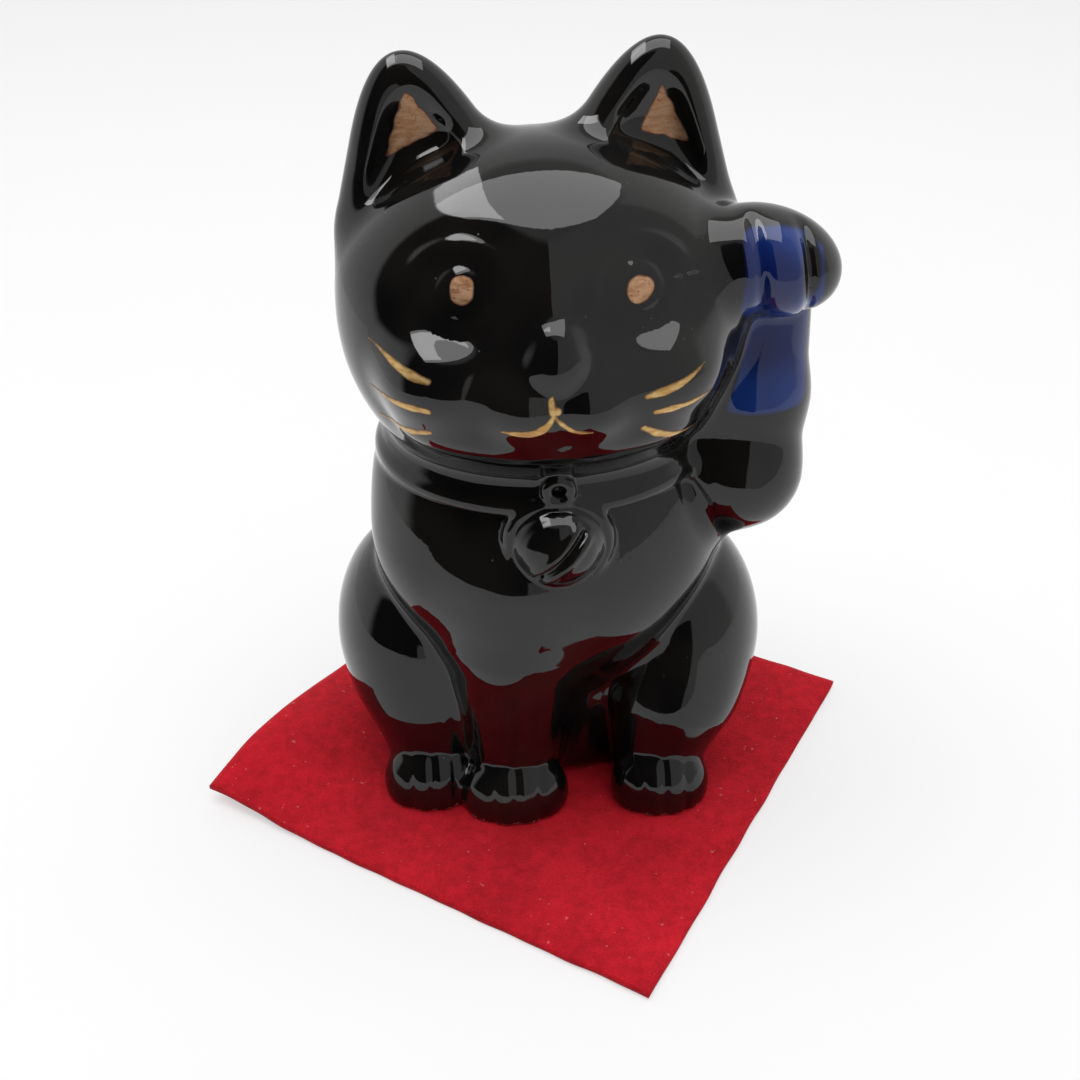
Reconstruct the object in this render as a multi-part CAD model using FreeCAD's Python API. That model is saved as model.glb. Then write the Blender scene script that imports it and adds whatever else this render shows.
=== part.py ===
"""Beckoning cat: a hollow glazed ceramic figurine standing on a square of felt.

The figurine is built the way a potter lutes one together from cast and pressed pieces: a hollow
body, a hollow head, a raised left arm, a tail, a collar strap and a bell, then thin overglaze
gold and blue laid on the fired surface.  Lengths are millimetres.  The cat faces -Y, +Z is up,
and the origin is the centre of the felt's underside.
"""
import FreeCAD, Part
import math
import os
from FreeCAD import Matrix, Rotation, Vector

os.makedirs("parts", exist_ok=True)

# ---------------------------------------------------------------- driving dimensions
# Felt mat, and where the figurine stands on it.
MAT_LENGTH = 100.0
MAT_WIDTH = 96.0
MAT_THICKNESS = 1.2
MAT_TURN = -34.1
STAND_X = 2.5
STAND_Y = 2.8

# Ceramic.  Every height below is counted from the plane that the feet stand on.
WALL = 3.5
VENT_RADIUS = 5.0
VENT_Y = 14.0
THROAT_RADII = (15.5, 13.1)
THROAT_Y = 1.5

# Trunk: three overlapping ellipsoids, given as centre and half-axes, and a flat-bottomed seat.
TRUNK_CENTRE = (0.0, 3.0, 56.0)
TRUNK_RADII = (33.6, 26.5, 35.0)
HIPS_CENTRE = (0.0, 10.0, 24.0)
HIPS_RADII = (35.0, 23.0, 27.0)
CHEST_CENTRE = (0.0, 2.0, 70.0)
CHEST_RADII = (27.5, 23.0, 16.0)
SEAT_Y = 8.0
SEAT_RADII = (30.0, 21.5)
SEAT_HEIGHT = 20.0

# Limbs of the sitting cat.  Paired pieces are given for the +X side and mirrored, and then all of
# them are turned together, because the cat sits a little askew under its straight chest.
SEAT_TURN = -7.0
HAUNCH_CENTRE = (27.2, 5.0, 28.0)
HAUNCH_RADII = (15.4, 22.0, 22.0)
HAUNCH_LEAN = 6.0
SHIN_TOP = (25.5, -8.0, 24.0)
SHIN_END = (23.0, -13.0, 7.0)
SHIN_TOP_RADIUS = 11.0
SHIN_END_RADIUS = 8.8
FORELEG_TOP = (-6.0, -9.0, 48.0)
FORELEG_END = (-5.5, -18.0, 8.0)
FORELEG_TOP_RADIUS = 16.0
FORELEG_END_RADIUS = 9.0
HIND_FOOT_CENTRE = (23.0, -14.5, 4.8)
HIND_FOOT_RADII = (10.3, 11.2, 9.4)
FOREPAW_CENTRE = (-5.5, -19.5, 4.8)
FOREPAW_RADII = (10.5, 11.8, 9.8)
TOE_GROOVE_WIDTH = 0.8
TOE_GROOVE_DEPTH = 0.5

# Head.
SKULL_CENTRE = (0.0, -0.5, 103.5)
SKULL_RADII = (36.2, 28.9, 27.2)
JAW_CENTRE = (0.0, -0.5, 98.0)
JAW_RADII = (35.8, 28.3, 31.5)
JAW_CUT = 12.5
MUZZLE_CENTRE = (5.5, -25.0, 96.5)
MUZZLE_RADII = (8.0, 7.5, 6.0)
NOSE_CENTRE = (0.0, -28.8, 104.5)
NOSE_RADII = (3.4, 3.2, 2.6)
EAR_TIP = (20.8, 5.0, 136.6)
EAR_TIP_RADIUS = 4.6
EAR_RIM_INSET = 1.2
EAR_OUTER_BASE = (27.9, 4.0, 112.0)
EAR_OUTER_RADIUS = 6.2
EAR_INNER_BASE = (11.5, 4.0, 119.5)
EAR_INNER_RADIUS = 5.5
EAR_MIDDLE_BASE = (20.0, 4.0, 117.0)
EAR_MIDDLE_RADIUS = 7.5
EAR_HOLLOW_X = 20.8
EAR_HOLLOW_HEIGHT = 124.5
EAR_HOLLOW_RADII = (6.6, 5.4, 9.6)
EAR_HOLLOW_FLOOR = 3.0
EYE_X = 13.8
EYE_HEIGHT = 113.5
EYE_RADII = (8.7, 7.4)
EYE_BULGE = 1.8

# Raised left arm: shoulder, elbow, wrist, then the paw curled forward.
SHOULDER = (27.0, 2.0, 63.0)
SHOULDER_RADIUS = 10.0
ELBOW = (36.6, -2.0, 66.8)
ELBOW_RADIUS = 10.9
FOREARM_START = (38.2, -4.5, 80.0)
FOREARM_RADIUS = 9.6
WRIST = (38.9, -7.2, 104.0)
WRIST_RADIUS = 8.2
PAW_CENTRE = (37.4, -9.0, 109.8)
PAW_RADII = (12.6, 9.8, 9.3)
PAW_LEAN = 12.0

# Tail, curled round on the cat's left side of the back.
TAIL_ROOT = (0.0, 28.0, 8.0)
TAIL_BEND = (14.0, 33.0, 8.5)
TAIL_TIP = (25.0, 26.0, 17.0)
TAIL_ROOT_RADIUS = 5.5
TAIL_BEND_RADIUS = 5.3
TAIL_TIP_RADIUS = 3.0

# Collar strap and bell.
COLLAR_DROP = 3.5
COLLAR_PROUD = 2.2
COLLAR_HALF_WIDTH = 3.6
BELL_X = 0.5
BELL_DROP = 10.0
BELL_RADIUS = 10.0
BELL_DEPTH = 6.5
BELL_FORWARD = 1.0
BELL_SLOT_WIDTH = 1.2
BELL_SLOT_DEPTH = 1.0
BELL_SLOT_TURN = 40.0
BELL_LOOP_RADIUS = 2.6
BELL_LOOP_WIRE = 1.1
BELL_LOOP_CLEARANCE = 0.2

# Overglaze colours.
GOLD_THICKNESS = 0.15
BLUE_THICKNESS = 0.2
PUPIL_RADIUS = 2.5
WHISKERS = (((27.6, 101.2), (17.8, 98.4)), ((27.2, 93.6), (18.0, 93.2)), ((23.6, 86.8), (17.0, 89.0)))
WHISKER_TIP_WIDTH = 0.5
WHISKER_ROOT_WIDTH = 1.3
MOUTH_TOP = (-0.9, 99.9)
MOUTH_FORK = (-0.6, 96.2)
MOUTH_LEFT = ((-4.2, 93.6), (-9.2, 93.6))
MOUTH_RIGHT = ((2.6, 93.4), (6.2, 93.2))
MOUTH_WIDTH = 1.5
EAR_GOLD = ((20.6, 131.6), (24.6, 122.8), (17.0, 124.4))
BLUE_EDGE_HEIGHT = 84.0
BLUE_TOE_INSET = 4.5
BLUE_TOE_HEIGHT = 6.0

# Heights that follow from the head down: the luted seam, the collar below it, the bell below that.
SEAM_HEIGHT = JAW_CENTRE[2] - JAW_RADII[2] + JAW_CUT
COLLAR_HEIGHT = SEAM_HEIGHT - COLLAR_DROP
BELL_HEIGHT = COLLAR_HEIGHT - BELL_DROP

SIDES = (("left", 1), ("right", -1))        # the cat's own left is +X
MARGIN = 60.0                               # how far a cutting tool runs past what it cuts


# ---------------------------------------------------------------- small shape helpers
def at(point, side=1):
    """A vector from a point, mirrored to the -X side when side is -1."""
    return Vector(point[0] * side, point[1], point[2])


def ellipsoid(centre, radii, lean=0.0, grow=0.0):
    """A solid ellipsoid; lean turns it about +Y in degrees, grow offsets its half-axes."""
    stretch = Matrix()
    stretch.scale(Vector(radii[0] + grow, radii[1] + grow, radii[2] + grow))
    solid = Part.makeSphere(1.0).transformGeometry(stretch)
    solid.rotate(Vector(0, 0, 0), Vector(0, 1, 0), lean)
    solid.translate(Vector(*centre))
    return solid


def limb(start, end, start_radius, end_radius):
    """A tapered limb with ball ends: one outline of two arcs and their common tangent, revolved."""
    axis = end - start
    length = axis.Length
    slope = (start_radius - end_radius) / length
    flank = math.sqrt(1.0 - slope * slope)
    tangent_a = Vector(start_radius * flank, 0, start_radius * slope)
    tangent_b = Vector(end_radius * flank, 0, length + end_radius * slope)
    bottom = Vector(0, 0, -start_radius)
    top = Vector(0, 0, length + end_radius)
    half_a = (math.asin(slope) - math.pi / 2) / 2
    half_b = (math.asin(slope) + math.pi / 2) / 2
    through_a = Vector(math.cos(half_a), 0, math.sin(half_a)) * start_radius
    through_b = Vector(0, 0, length) + Vector(math.cos(half_b), 0, math.sin(half_b)) * end_radius
    outline = [
        Part.Arc(bottom, through_a, tangent_a).toShape(),
        Part.makeLine(tangent_a, tangent_b),
        Part.Arc(tangent_b, through_b, top).toShape(),
        Part.makeLine(top, bottom),
    ]
    solid = Part.Face(Part.Wire(outline)).revolve(Vector(0, 0, 0), Vector(0, 0, 1), 360)
    turn = Rotation(Vector(0, 0, 1), axis)
    solid.rotate(Vector(0, 0, 0), turn.Axis, math.degrees(turn.Angle))
    solid.translate(start)
    return solid


def tube(points, radii, grow=0.0):
    """A smooth round tube through points, square to the line between their neighbours."""
    rings = []
    for index, point in enumerate(points):
        before = points[max(index - 1, 0)]
        after = points[min(index + 1, len(points) - 1)]
        rings.append(Part.Wire(Part.makeCircle(radii[index] + grow, point, after - before)))
    return Part.makeLoft(rings, True)


def oval_post(y, radii, low, high):
    """An upright elliptic post centred on x = 0."""
    stretch = Matrix()
    stretch.scale(Vector(radii[0], radii[1], high - low))
    solid = Part.makeCylinder(1.0, 1.0).transformGeometry(stretch)
    solid.translate(Vector(0, y, low))
    return solid


def slab(low, high):
    """Everything between two heights, wide enough to hold the whole figurine."""
    side = 4 * MARGIN
    return Part.makeBox(side, side, high - low, Vector(-side / 2, -side / 2, low))


def fuse(solids):
    return solids[0].multiFuse(solids[1:]).removeSplitter()


def cut(solid, tools):
    """What is left of a solid after the tools, as its own single largest piece."""
    left = solid.cut(tools) if tools else solid
    return max(left.Solids, key=lambda piece: piece.Volume)


def forward_prism(outline, back):
    """An outline drawn in (x, z), run forward along -Y from y = back."""
    corners = [Vector(x, back, z) for x, z in outline]
    face = Part.Face(Part.makePolygon(corners + corners[:1]))
    return face.extrude(Vector(0, -2 * MARGIN, 0))


def brush_stroke(points, widths, back):
    """A painted stroke along points in (x, z), run forward as a prism."""
    left = []
    right = []
    for index, (x, z) in enumerate(points):
        before = points[max(index - 1, 0)]
        after = points[min(index + 1, len(points) - 1)]
        run = math.hypot(after[0] - before[0], after[1] - before[1])
        across_x = -(after[1] - before[1]) / run * widths[index] / 2
        across_z = (after[0] - before[0]) / run * widths[index] / 2
        left.append((x + across_x, z + across_z))
        right.append((x - across_x, z - across_z))
    return forward_prism(left + right[::-1], back)


def section(centre, radii, height):
    """Half-width, front y and back y of an ellipsoid at a height."""
    share = math.sqrt(1.0 - ((height - centre[2]) / radii[2]) ** 2)
    return radii[0] * share, centre[1] - radii[1] * share, centre[1] + radii[1] * share


def toe_grooves(centre, radii, lean=0.0):
    """Two grooves of even depth over the front of a paw, parting it into three toes."""
    skin = ellipsoid(centre, radii, lean, TOE_GROOVE_DEPTH)
    core = ellipsoid(centre, radii, lean, -TOE_GROOVE_DEPTH)
    grooves = []
    for share in (-1 / 3, 1 / 3):
        x = centre[0] + share * radii[0] - TOE_GROOVE_WIDTH / 2
        low = Vector(x, centre[1] - MARGIN, centre[2] - MARGIN)
        sheet = Part.makeBox(TOE_GROOVE_WIDTH, MARGIN, 2 * MARGIN, low)
        grooves.append(sheet.common(skin).cut(core))
    return grooves


# ---------------------------------------------------------------- the ceramic pieces
def turned(solid):
    """A piece of the seat, turned with the rest of it about the cat's upright axis."""
    solid.rotate(Vector(0, 0, 0), Vector(0, 0, 1), SEAT_TURN)
    return solid


def haunch(side, grow=0.0):
    return turned(ellipsoid(at(HAUNCH_CENTRE, side), HAUNCH_RADII, -HAUNCH_LEAN * side, grow))


def body_outside():
    """Trunk, haunches, hind legs and the straight right foreleg, before it is hollowed."""
    pieces = [
        ellipsoid(TRUNK_CENTRE, TRUNK_RADII),
        ellipsoid(HIPS_CENTRE, HIPS_RADII),
        ellipsoid(CHEST_CENTRE, CHEST_RADII),
        oval_post(SEAT_Y, SEAT_RADII, 0.0, SEAT_HEIGHT),
        turned(limb(at(FORELEG_TOP), at(FORELEG_END), FORELEG_TOP_RADIUS, FORELEG_END_RADIUS)),
        turned(ellipsoid(FOREPAW_CENTRE, FOREPAW_RADII)),
    ]
    for _, side in SIDES:
        shin = limb(at(SHIN_TOP, side), at(SHIN_END, side), SHIN_TOP_RADIUS, SHIN_END_RADIUS)
        foot = ellipsoid(at(HIND_FOOT_CENTRE, side), HIND_FOOT_RADII)
        pieces += [haunch(side), turned(shin), turned(foot)]
    grooves = toe_grooves(FOREPAW_CENTRE, FOREPAW_RADII)
    for _, side in SIDES:
        grooves += toe_grooves(at(HIND_FOOT_CENTRE, side), HIND_FOOT_RADII)
    return cut(fuse(pieces).common(slab(0.0, SEAM_HEIGHT)), [turned(groove) for groove in grooves])


def throat(low, high):
    """The way through the luted seam, from the hollow of the body to that of the head."""
    return oval_post(THROAT_Y, THROAT_RADII, low, high)


def body_inside():
    """The space that the slip left when it was poured out of the mould."""
    seat = (SEAT_RADII[0] - WALL, SEAT_RADII[1] - WALL)
    pieces = [
        ellipsoid(TRUNK_CENTRE, TRUNK_RADII, 0.0, -WALL),
        ellipsoid(HIPS_CENTRE, HIPS_RADII, 0.0, -WALL),
        oval_post(SEAT_Y, seat, WALL, SEAT_HEIGHT),
    ]
    pieces += [haunch(side, -WALL) for _, side in SIDES]
    room = fuse(pieces).common(slab(WALL, SEAM_HEIGHT - WALL))
    return fuse([room, throat(SEAM_HEIGHT - 2 * WALL, SEAM_HEIGHT + WALL)])


def body_casting(outside):
    vent = Part.makeCylinder(VENT_RADIUS, 2 * WALL, Vector(0, VENT_Y, -WALL / 2))
    return cut(outside, [body_inside(), vent])


def ear(side):
    """A tapered limb up to the tip ball, with two thinner rims that spread into the skull."""
    tip = at(EAR_TIP, side)
    rim_tip_radius = EAR_TIP_RADIUS - EAR_RIM_INSET
    return [
        limb(at(EAR_MIDDLE_BASE, side), tip, EAR_MIDDLE_RADIUS, EAR_TIP_RADIUS),
        limb(at(EAR_OUTER_BASE, side), tip, EAR_OUTER_RADIUS, rim_tip_radius),
        limb(at(EAR_INNER_BASE, side), tip, EAR_INNER_RADIUS, rim_tip_radius),
    ]


def ear_hollow_middle():
    """The y of the hollow's middle: its floor lies EAR_HOLLOW_FLOOR before the ear's middle plane."""
    return EAR_TIP[1] - EAR_HOLLOW_FLOOR - EAR_HOLLOW_RADII[1]


def ear_hollow(side, grow=0.0):
    """The rounded hollow in the front of an ear."""
    centre = (EAR_HOLLOW_X * side, ear_hollow_middle(), EAR_HOLLOW_HEIGHT)
    return ellipsoid(centre, EAR_HOLLOW_RADII, 0.0, grow)


def eye_frame(side):
    """Where the eye sits on the skull, and the turn from -Y to the skull's normal there."""
    x = EYE_X * side - SKULL_CENTRE[0]
    z = EYE_HEIGHT - SKULL_CENTRE[2]
    y = -SKULL_RADII[1] * math.sqrt(1.0 - (x / SKULL_RADII[0]) ** 2 - (z / SKULL_RADII[2]) ** 2)
    normal = Vector(x / SKULL_RADII[0] ** 2, y / SKULL_RADII[1] ** 2, z / SKULL_RADII[2] ** 2)
    return Vector(*SKULL_CENTRE) + Vector(x, y, z), Rotation(Vector(0, -1, 0), normal)


def eye_dome(side, grow=0.0):
    place, turn = eye_frame(side)
    dome = ellipsoid((0.0, 0.0, 0.0), (EYE_RADII[0], EYE_BULGE, EYE_RADII[1]), 0.0, grow)
    dome.rotate(Vector(0, 0, 0), turn.Axis, math.degrees(turn.Angle))
    dome.translate(place)
    return dome


def face(grow=0.0):
    """Skull, jaw, muzzle pads, nose and eye domes, all offset outward by grow."""
    pieces = [
        ellipsoid(SKULL_CENTRE, SKULL_RADII, 0.0, grow),
        ellipsoid(JAW_CENTRE, JAW_RADII, 0.0, grow),
        ellipsoid(NOSE_CENTRE, NOSE_RADII, 0.0, grow),
    ]
    for _, side in SIDES:
        pieces.append(ellipsoid(at(MUZZLE_CENTRE, side), MUZZLE_RADII, 0.0, grow))
        pieces.append(eye_dome(side, grow))
    return pieces


def head_outside():
    pieces = face()
    for _, side in SIDES:
        pieces += ear(side)
    hollows = [ear_hollow(side) for _, side in SIDES]
    return cut(fuse(pieces).common(slab(SEAM_HEIGHT, 4 * MARGIN)), hollows)


def head_casting(outside):
    room = fuse([
        ellipsoid(SKULL_CENTRE, SKULL_RADII, 0.0, -WALL),
        ellipsoid(JAW_CENTRE, JAW_RADII, 0.0, -WALL),
    ])
    inside = fuse([
        room.common(slab(SEAM_HEIGHT + WALL, 4 * MARGIN)),
        throat(SEAM_HEIGHT - WALL, SEAM_HEIGHT + 2 * WALL),
    ])
    return cut(outside, [inside])


def arm_tube(grow=0.0):
    points = [at(SHOULDER), at(ELBOW), at(FOREARM_START), at(WRIST)]
    return tube(points, (SHOULDER_RADIUS, ELBOW_RADIUS, FOREARM_RADIUS, WRIST_RADIUS), grow)


def raised_arm_outside():
    arm = fuse([arm_tube(), ellipsoid(PAW_CENTRE, PAW_RADII, PAW_LEAN)])
    return cut(arm, toe_grooves(PAW_CENTRE, PAW_RADII, PAW_LEAN))


def tail_outside():
    points = [at(TAIL_ROOT), at(TAIL_BEND), at(TAIL_TIP)]
    return tube(points, (TAIL_ROOT_RADIUS, TAIL_BEND_RADIUS, TAIL_TIP_RADIUS))


def trunk_section(height):
    """Half-width, front y and back y of trunk and chest together at a height."""
    trunk = section(TRUNK_CENTRE, TRUNK_RADII, height)
    chest = section(CHEST_CENTRE, CHEST_RADII, height)
    return max(trunk[0], chest[0]), min(trunk[1], chest[1]), max(trunk[2], chest[2])


def collar_outside():
    """A rounded strap whose rim stands COLLAR_PROUD outside the trunk at its height.

    It is drawn as a full disc with a rounded rim; the body then cuts away all but the strap.
    """
    half_width, front, back = trunk_section(COLLAR_HEIGHT)
    half_depth = (back - front) / 2
    round_off = COLLAR_PROUD / half_depth
    low = Vector(1, 0, -round_off)
    high = Vector(1, 0, round_off)
    outline = [
        Part.Arc(low, Vector(1 + round_off, 0, 0), high).toShape(),
        Part.makeLine(high, Vector(0, 0, round_off)),
        Part.makeLine(Vector(0, 0, round_off), Vector(0, 0, -round_off)),
        Part.makeLine(Vector(0, 0, -round_off), low),
    ]
    disc = Part.Face(Part.Wire(outline)).revolve(Vector(0, 0, 0), Vector(0, 0, 1), 360)
    stretch = Matrix()
    stretch.scale(Vector(half_width, half_depth, COLLAR_HALF_WIDTH / round_off))
    disc = disc.transformGeometry(stretch)
    disc.translate(Vector(0, (front + back) / 2, COLLAR_HEIGHT))
    return disc


def bell_outside():
    """A round pellet bell: a flattened ball with a slanting sound slot, hung by a small loop."""
    centre = Vector(BELL_X, trunk_section(BELL_HEIGHT)[1] - BELL_FORWARD, BELL_HEIGHT)
    radii = (BELL_RADIUS, BELL_DEPTH, BELL_RADIUS)
    ball = ellipsoid(centre, radii)
    strap_front = trunk_section(COLLAR_HEIGHT)[1] - COLLAR_PROUD
    loop_y = strap_front - BELL_LOOP_CLEARANCE
    loop = Part.makeTorus(BELL_LOOP_RADIUS, BELL_LOOP_WIRE, Vector(0, 0, 0), Vector(0, 1, 0))
    loop.translate(Vector(BELL_X, loop_y, BELL_HEIGHT + BELL_RADIUS))
    slot = Part.makeBox(BELL_SLOT_WIDTH, MARGIN, 2 * BELL_RADIUS)
    slot.translate(Vector(-BELL_SLOT_WIDTH / 2, -MARGIN, -BELL_RADIUS))
    slot.rotate(Vector(0, 0, 0), Vector(0, 1, 0), BELL_SLOT_TURN)
    slot.translate(centre)
    slot = slot.common(ellipsoid(centre, radii, 0.0, BELL_SLOT_DEPTH))
    slot = slot.cut(ellipsoid(centre, radii, 0.0, -BELL_SLOT_DEPTH))
    return fuse([cut(ball, [slot]), loop])


# ---------------------------------------------------------------- overglaze gold and blue
def face_film():
    """A skin of gold's thickness all over the face, down to the seam."""
    film = fuse(face(GOLD_THICKNESS)).cut(fuse(face()))
    return film.common(slab(SEAM_HEIGHT, 4 * MARGIN))


def painted(film, prisms):
    """The pieces of the film that the prisms cut out, each on the front of the face."""
    return Part.makeCompound([cut(film.common(prism), []) for prism in prisms])


def eye_gold(side):
    """The round gold pupil on the crown of the eye dome."""
    place, turn = eye_frame(side)
    outward = turn.multVec(Vector(0, -1, 0))
    rod = Part.makeCylinder(PUPIL_RADIUS, 2 * EYE_BULGE, place, outward)
    return eye_dome(side, GOLD_THICKNESS).common(rod).cut(eye_dome(side))


def whisker_prisms(side):
    prisms = []
    for tip, root in WHISKERS:
        points = [(tip[0] * side, tip[1]), (root[0] * side, root[1])]
        prisms.append(brush_stroke(points, (WHISKER_TIP_WIDTH, WHISKER_ROOT_WIDTH), 0.0))
    return prisms


def mouth_prism():
    thin = MOUTH_WIDTH / 2
    stem = brush_stroke([MOUTH_TOP, MOUTH_FORK], (thin, MOUTH_WIDTH), 0.0)
    left = brush_stroke([MOUTH_FORK, *MOUTH_LEFT], (MOUTH_WIDTH, MOUTH_WIDTH, thin), 0.0)
    right = brush_stroke([MOUTH_FORK, *MOUTH_RIGHT], (MOUTH_WIDTH, MOUTH_WIDTH, thin), 0.0)
    return fuse([stem, left, right])


def ear_gold(side):
    """A gold triangle on the floor of the ear's hollow."""
    prism = forward_prism([(x * side, z) for x, z in EAR_GOLD], EAR_TIP[1])
    rear = Part.makeBox(4 * MARGIN, MARGIN, 4 * MARGIN, Vector(-2 * MARGIN, ear_hollow_middle(), 0))
    film = ear_hollow(side).cut(ear_hollow(side, -GOLD_THICKNESS))
    return film.common(prism).common(rear)


def front_half(centre, low, high):
    """The space in front of a point between two heights."""
    return Part.makeBox(4 * MARGIN, 2 * MARGIN, high - low, Vector(-2 * MARGIN, centre[1] - 2 * MARGIN, low))


def paw_blue(arm, others):
    """Blue glaze over the toes, on the front of the raised paw."""
    film = ellipsoid(PAW_CENTRE, PAW_RADII, PAW_LEAN, BLUE_THICKNESS)
    film = film.common(front_half(PAW_CENTRE, 0.0, PAW_CENTRE[2] + BLUE_TOE_HEIGHT))
    outer_x = PAW_CENTRE[0] + PAW_RADII[0] - BLUE_TOE_INSET
    outer = Part.makeBox(MARGIN, 4 * MARGIN, 4 * MARGIN, Vector(outer_x, -2 * MARGIN, 0))
    return cut(film, [arm, outer, *others])


def forearm_blue(arm, others):
    """Blue glaze on the front of the forearm, from the wrist down to a level edge."""
    film = arm_tube(BLUE_THICKNESS).common(front_half(FOREARM_START, BLUE_EDGE_HEIGHT, WRIST[2]))
    return cut(film, [arm, ellipsoid(PAW_CENTRE, PAW_RADII, PAW_LEAN, BLUE_THICKNESS), *others])


# ---------------------------------------------------------------- felt
def felt_mat():
    mat = Part.makeBox(MAT_LENGTH, MAT_WIDTH, MAT_THICKNESS, Vector(-MAT_LENGTH / 2, -MAT_WIDTH / 2, 0))
    mat.rotate(Vector(0, 0, 0), Vector(0, 0, 1), MAT_TURN)
    return mat


# ---------------------------------------------------------------- assembly
def figurine():
    """Every piece of the figurine, standing on z = 0, each cut to seat on those before it."""
    body = body_outside()
    head = head_outside()
    bell = cut(bell_outside(), [body, head])
    collar = cut(collar_outside(), [body, head, bell])
    arm = cut(raised_arm_outside(), [body, head, collar])
    film = face_film()
    pieces = {
        "body_casting": body_casting(body),
        "head_casting": head_casting(head),
        "raised_arm": arm,
        "tail": cut(tail_outside(), [body]),
        "collar": collar,
        "bell": bell,
        "mouth_gold": painted(film, [mouth_prism()]),
        "paw_blue": paw_blue(arm, [head]),
        "forearm_blue": forearm_blue(arm, [head, collar, body]),
    }
    for name, side in SIDES:
        pieces["eye_gold_" + name] = eye_gold(side)
        pieces["ear_gold_" + name] = ear_gold(side)
        pieces["whiskers_gold_" + name] = painted(film, whisker_prisms(side))
    return pieces


nodes = {"felt_mat": felt_mat()}
for node, piece in figurine().items():
    piece.translate(Vector(STAND_X, STAND_Y, MAT_THICKNESS))
    nodes[node] = piece

for node, piece in nodes.items():
    box = piece.BoundBox
    print("%-20s solids %d valid %s volume %9.1f  x %6.1f %6.1f  y %6.1f %6.1f  z %6.1f %6.1f" % (
        node, len(piece.Solids), piece.isValid(), piece.Volume,
        box.XMin, box.XMax, box.YMin, box.YMax, box.ZMin, box.ZMax))
    piece.exportStep("parts/" + node + ".step")
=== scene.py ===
# %% [markdown]
# # A beckoning cat in black glaze
#
# The real object is a hollow ceramic cat, cast and luted together from a few clay pieces, dipped
# in one black glaze, touched with cobalt blue and overglaze gold, and stood on a square of felt.
# Glaze hides every joint: it pools in the creases and rounds every edge.  Polygon modelling with
# subdivision could follow the big forms, but the soft creases would each need their own loops.
# This lesson sculpts with distance fields instead.  A field gives, at any point, the distance to
# the clay; two fields can be melted into each other with a soft crease of any width, which is
# just what glaze does.  The fields are then turned into meshes, one closed mesh for each piece.

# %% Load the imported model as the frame
import math
import bpy
import numpy as np
from mathutils import Matrix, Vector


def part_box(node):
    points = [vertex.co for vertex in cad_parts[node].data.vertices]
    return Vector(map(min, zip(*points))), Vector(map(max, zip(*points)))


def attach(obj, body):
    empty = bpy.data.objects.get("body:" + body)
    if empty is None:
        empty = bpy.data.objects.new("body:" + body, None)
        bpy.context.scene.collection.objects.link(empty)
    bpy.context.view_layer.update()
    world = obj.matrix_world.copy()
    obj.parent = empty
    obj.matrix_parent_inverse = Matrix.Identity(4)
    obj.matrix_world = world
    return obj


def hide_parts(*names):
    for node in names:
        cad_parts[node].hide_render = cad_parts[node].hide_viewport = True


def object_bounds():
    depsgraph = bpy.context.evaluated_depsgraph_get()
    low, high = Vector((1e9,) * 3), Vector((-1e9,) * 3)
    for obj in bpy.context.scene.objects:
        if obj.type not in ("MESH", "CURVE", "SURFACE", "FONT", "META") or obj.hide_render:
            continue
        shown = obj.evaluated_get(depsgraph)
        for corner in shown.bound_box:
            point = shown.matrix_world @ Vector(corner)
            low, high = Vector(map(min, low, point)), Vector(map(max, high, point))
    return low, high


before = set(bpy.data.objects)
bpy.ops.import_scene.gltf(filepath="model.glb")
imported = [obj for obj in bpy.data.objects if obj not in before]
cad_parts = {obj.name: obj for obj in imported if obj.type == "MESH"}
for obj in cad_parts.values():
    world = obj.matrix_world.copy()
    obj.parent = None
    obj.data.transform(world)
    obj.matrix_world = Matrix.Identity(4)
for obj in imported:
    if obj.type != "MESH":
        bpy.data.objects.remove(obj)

cad_low, cad_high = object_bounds()
MM = 0.001
print("CAD box", [round(v, 4) for v in (*cad_low, *cad_high)])

# %% [markdown]
# ## Where the cat stands
#
# All shapes of the cat are worked out in millimetres in the cat's own frame: x to its left,
# y to its back, z up from the plane of its feet.  One step moves them to the shared frame.  Its
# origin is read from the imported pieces: the head is symmetric, so the middle of its box gives x,
# its back lies a known distance behind the axis, and the body's lowest point gives z.

# %% Read the standing point from the frame
SKULL_BACK = 28.4
head_low, head_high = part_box("head_casting")
stand = np.array([
    (head_low.x + head_high.x) / 2,
    head_high.y - SKULL_BACK * MM,
    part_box("body_casting")[0].z,
])
print("the cat stands at", np.round(stand, 5))

# %% [markdown]
# ## Tools for clay: balls, limbs and melting
#
# Two primitives are enough for a cat.  A ball is an ellipsoid, for skull, haunch or paw.  A limb
# is a tapered rod with round ends.  Melting joins two fields with a smooth minimum: far from
# each other they stay as they are, and where they come within a width called soft, they flow
# together.  Pressing is the same thing turned inside out, for hollows.

# %% Fields of the basic forms
def ball(p, centre, radii, turn=None):
    """Distance to an ellipsoid; turn is a rotation matrix."""
    q = p - np.array(centre)
    if turn is not None:
        q = q @ turn
    radii = np.array(radii)
    near = np.sqrt(((q / radii) ** 2).sum(-1))
    slope = np.sqrt(((q / radii ** 2) ** 2).sum(-1))
    return near * (near - 1) / np.maximum(slope, 1e-9)


def limb(p, start, end, start_radius, end_radius):
    """Distance to a tapered rod with round ends."""
    start = np.array(start, float)
    along = np.array(end, float) - start
    share = np.clip(((p - start) @ along) / (along @ along), 0, 1)
    away = p - (start + share[..., None] * along)
    return np.sqrt((away ** 2).sum(-1)) - (start_radius + (end_radius - start_radius) * share)


def melt(a, b, soft):
    """Union of two fields with a fillet about soft wide."""
    overlap = np.maximum(soft - np.abs(a - b), 0) / soft
    return np.minimum(a, b) - overlap ** 2 * soft / 4


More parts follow.
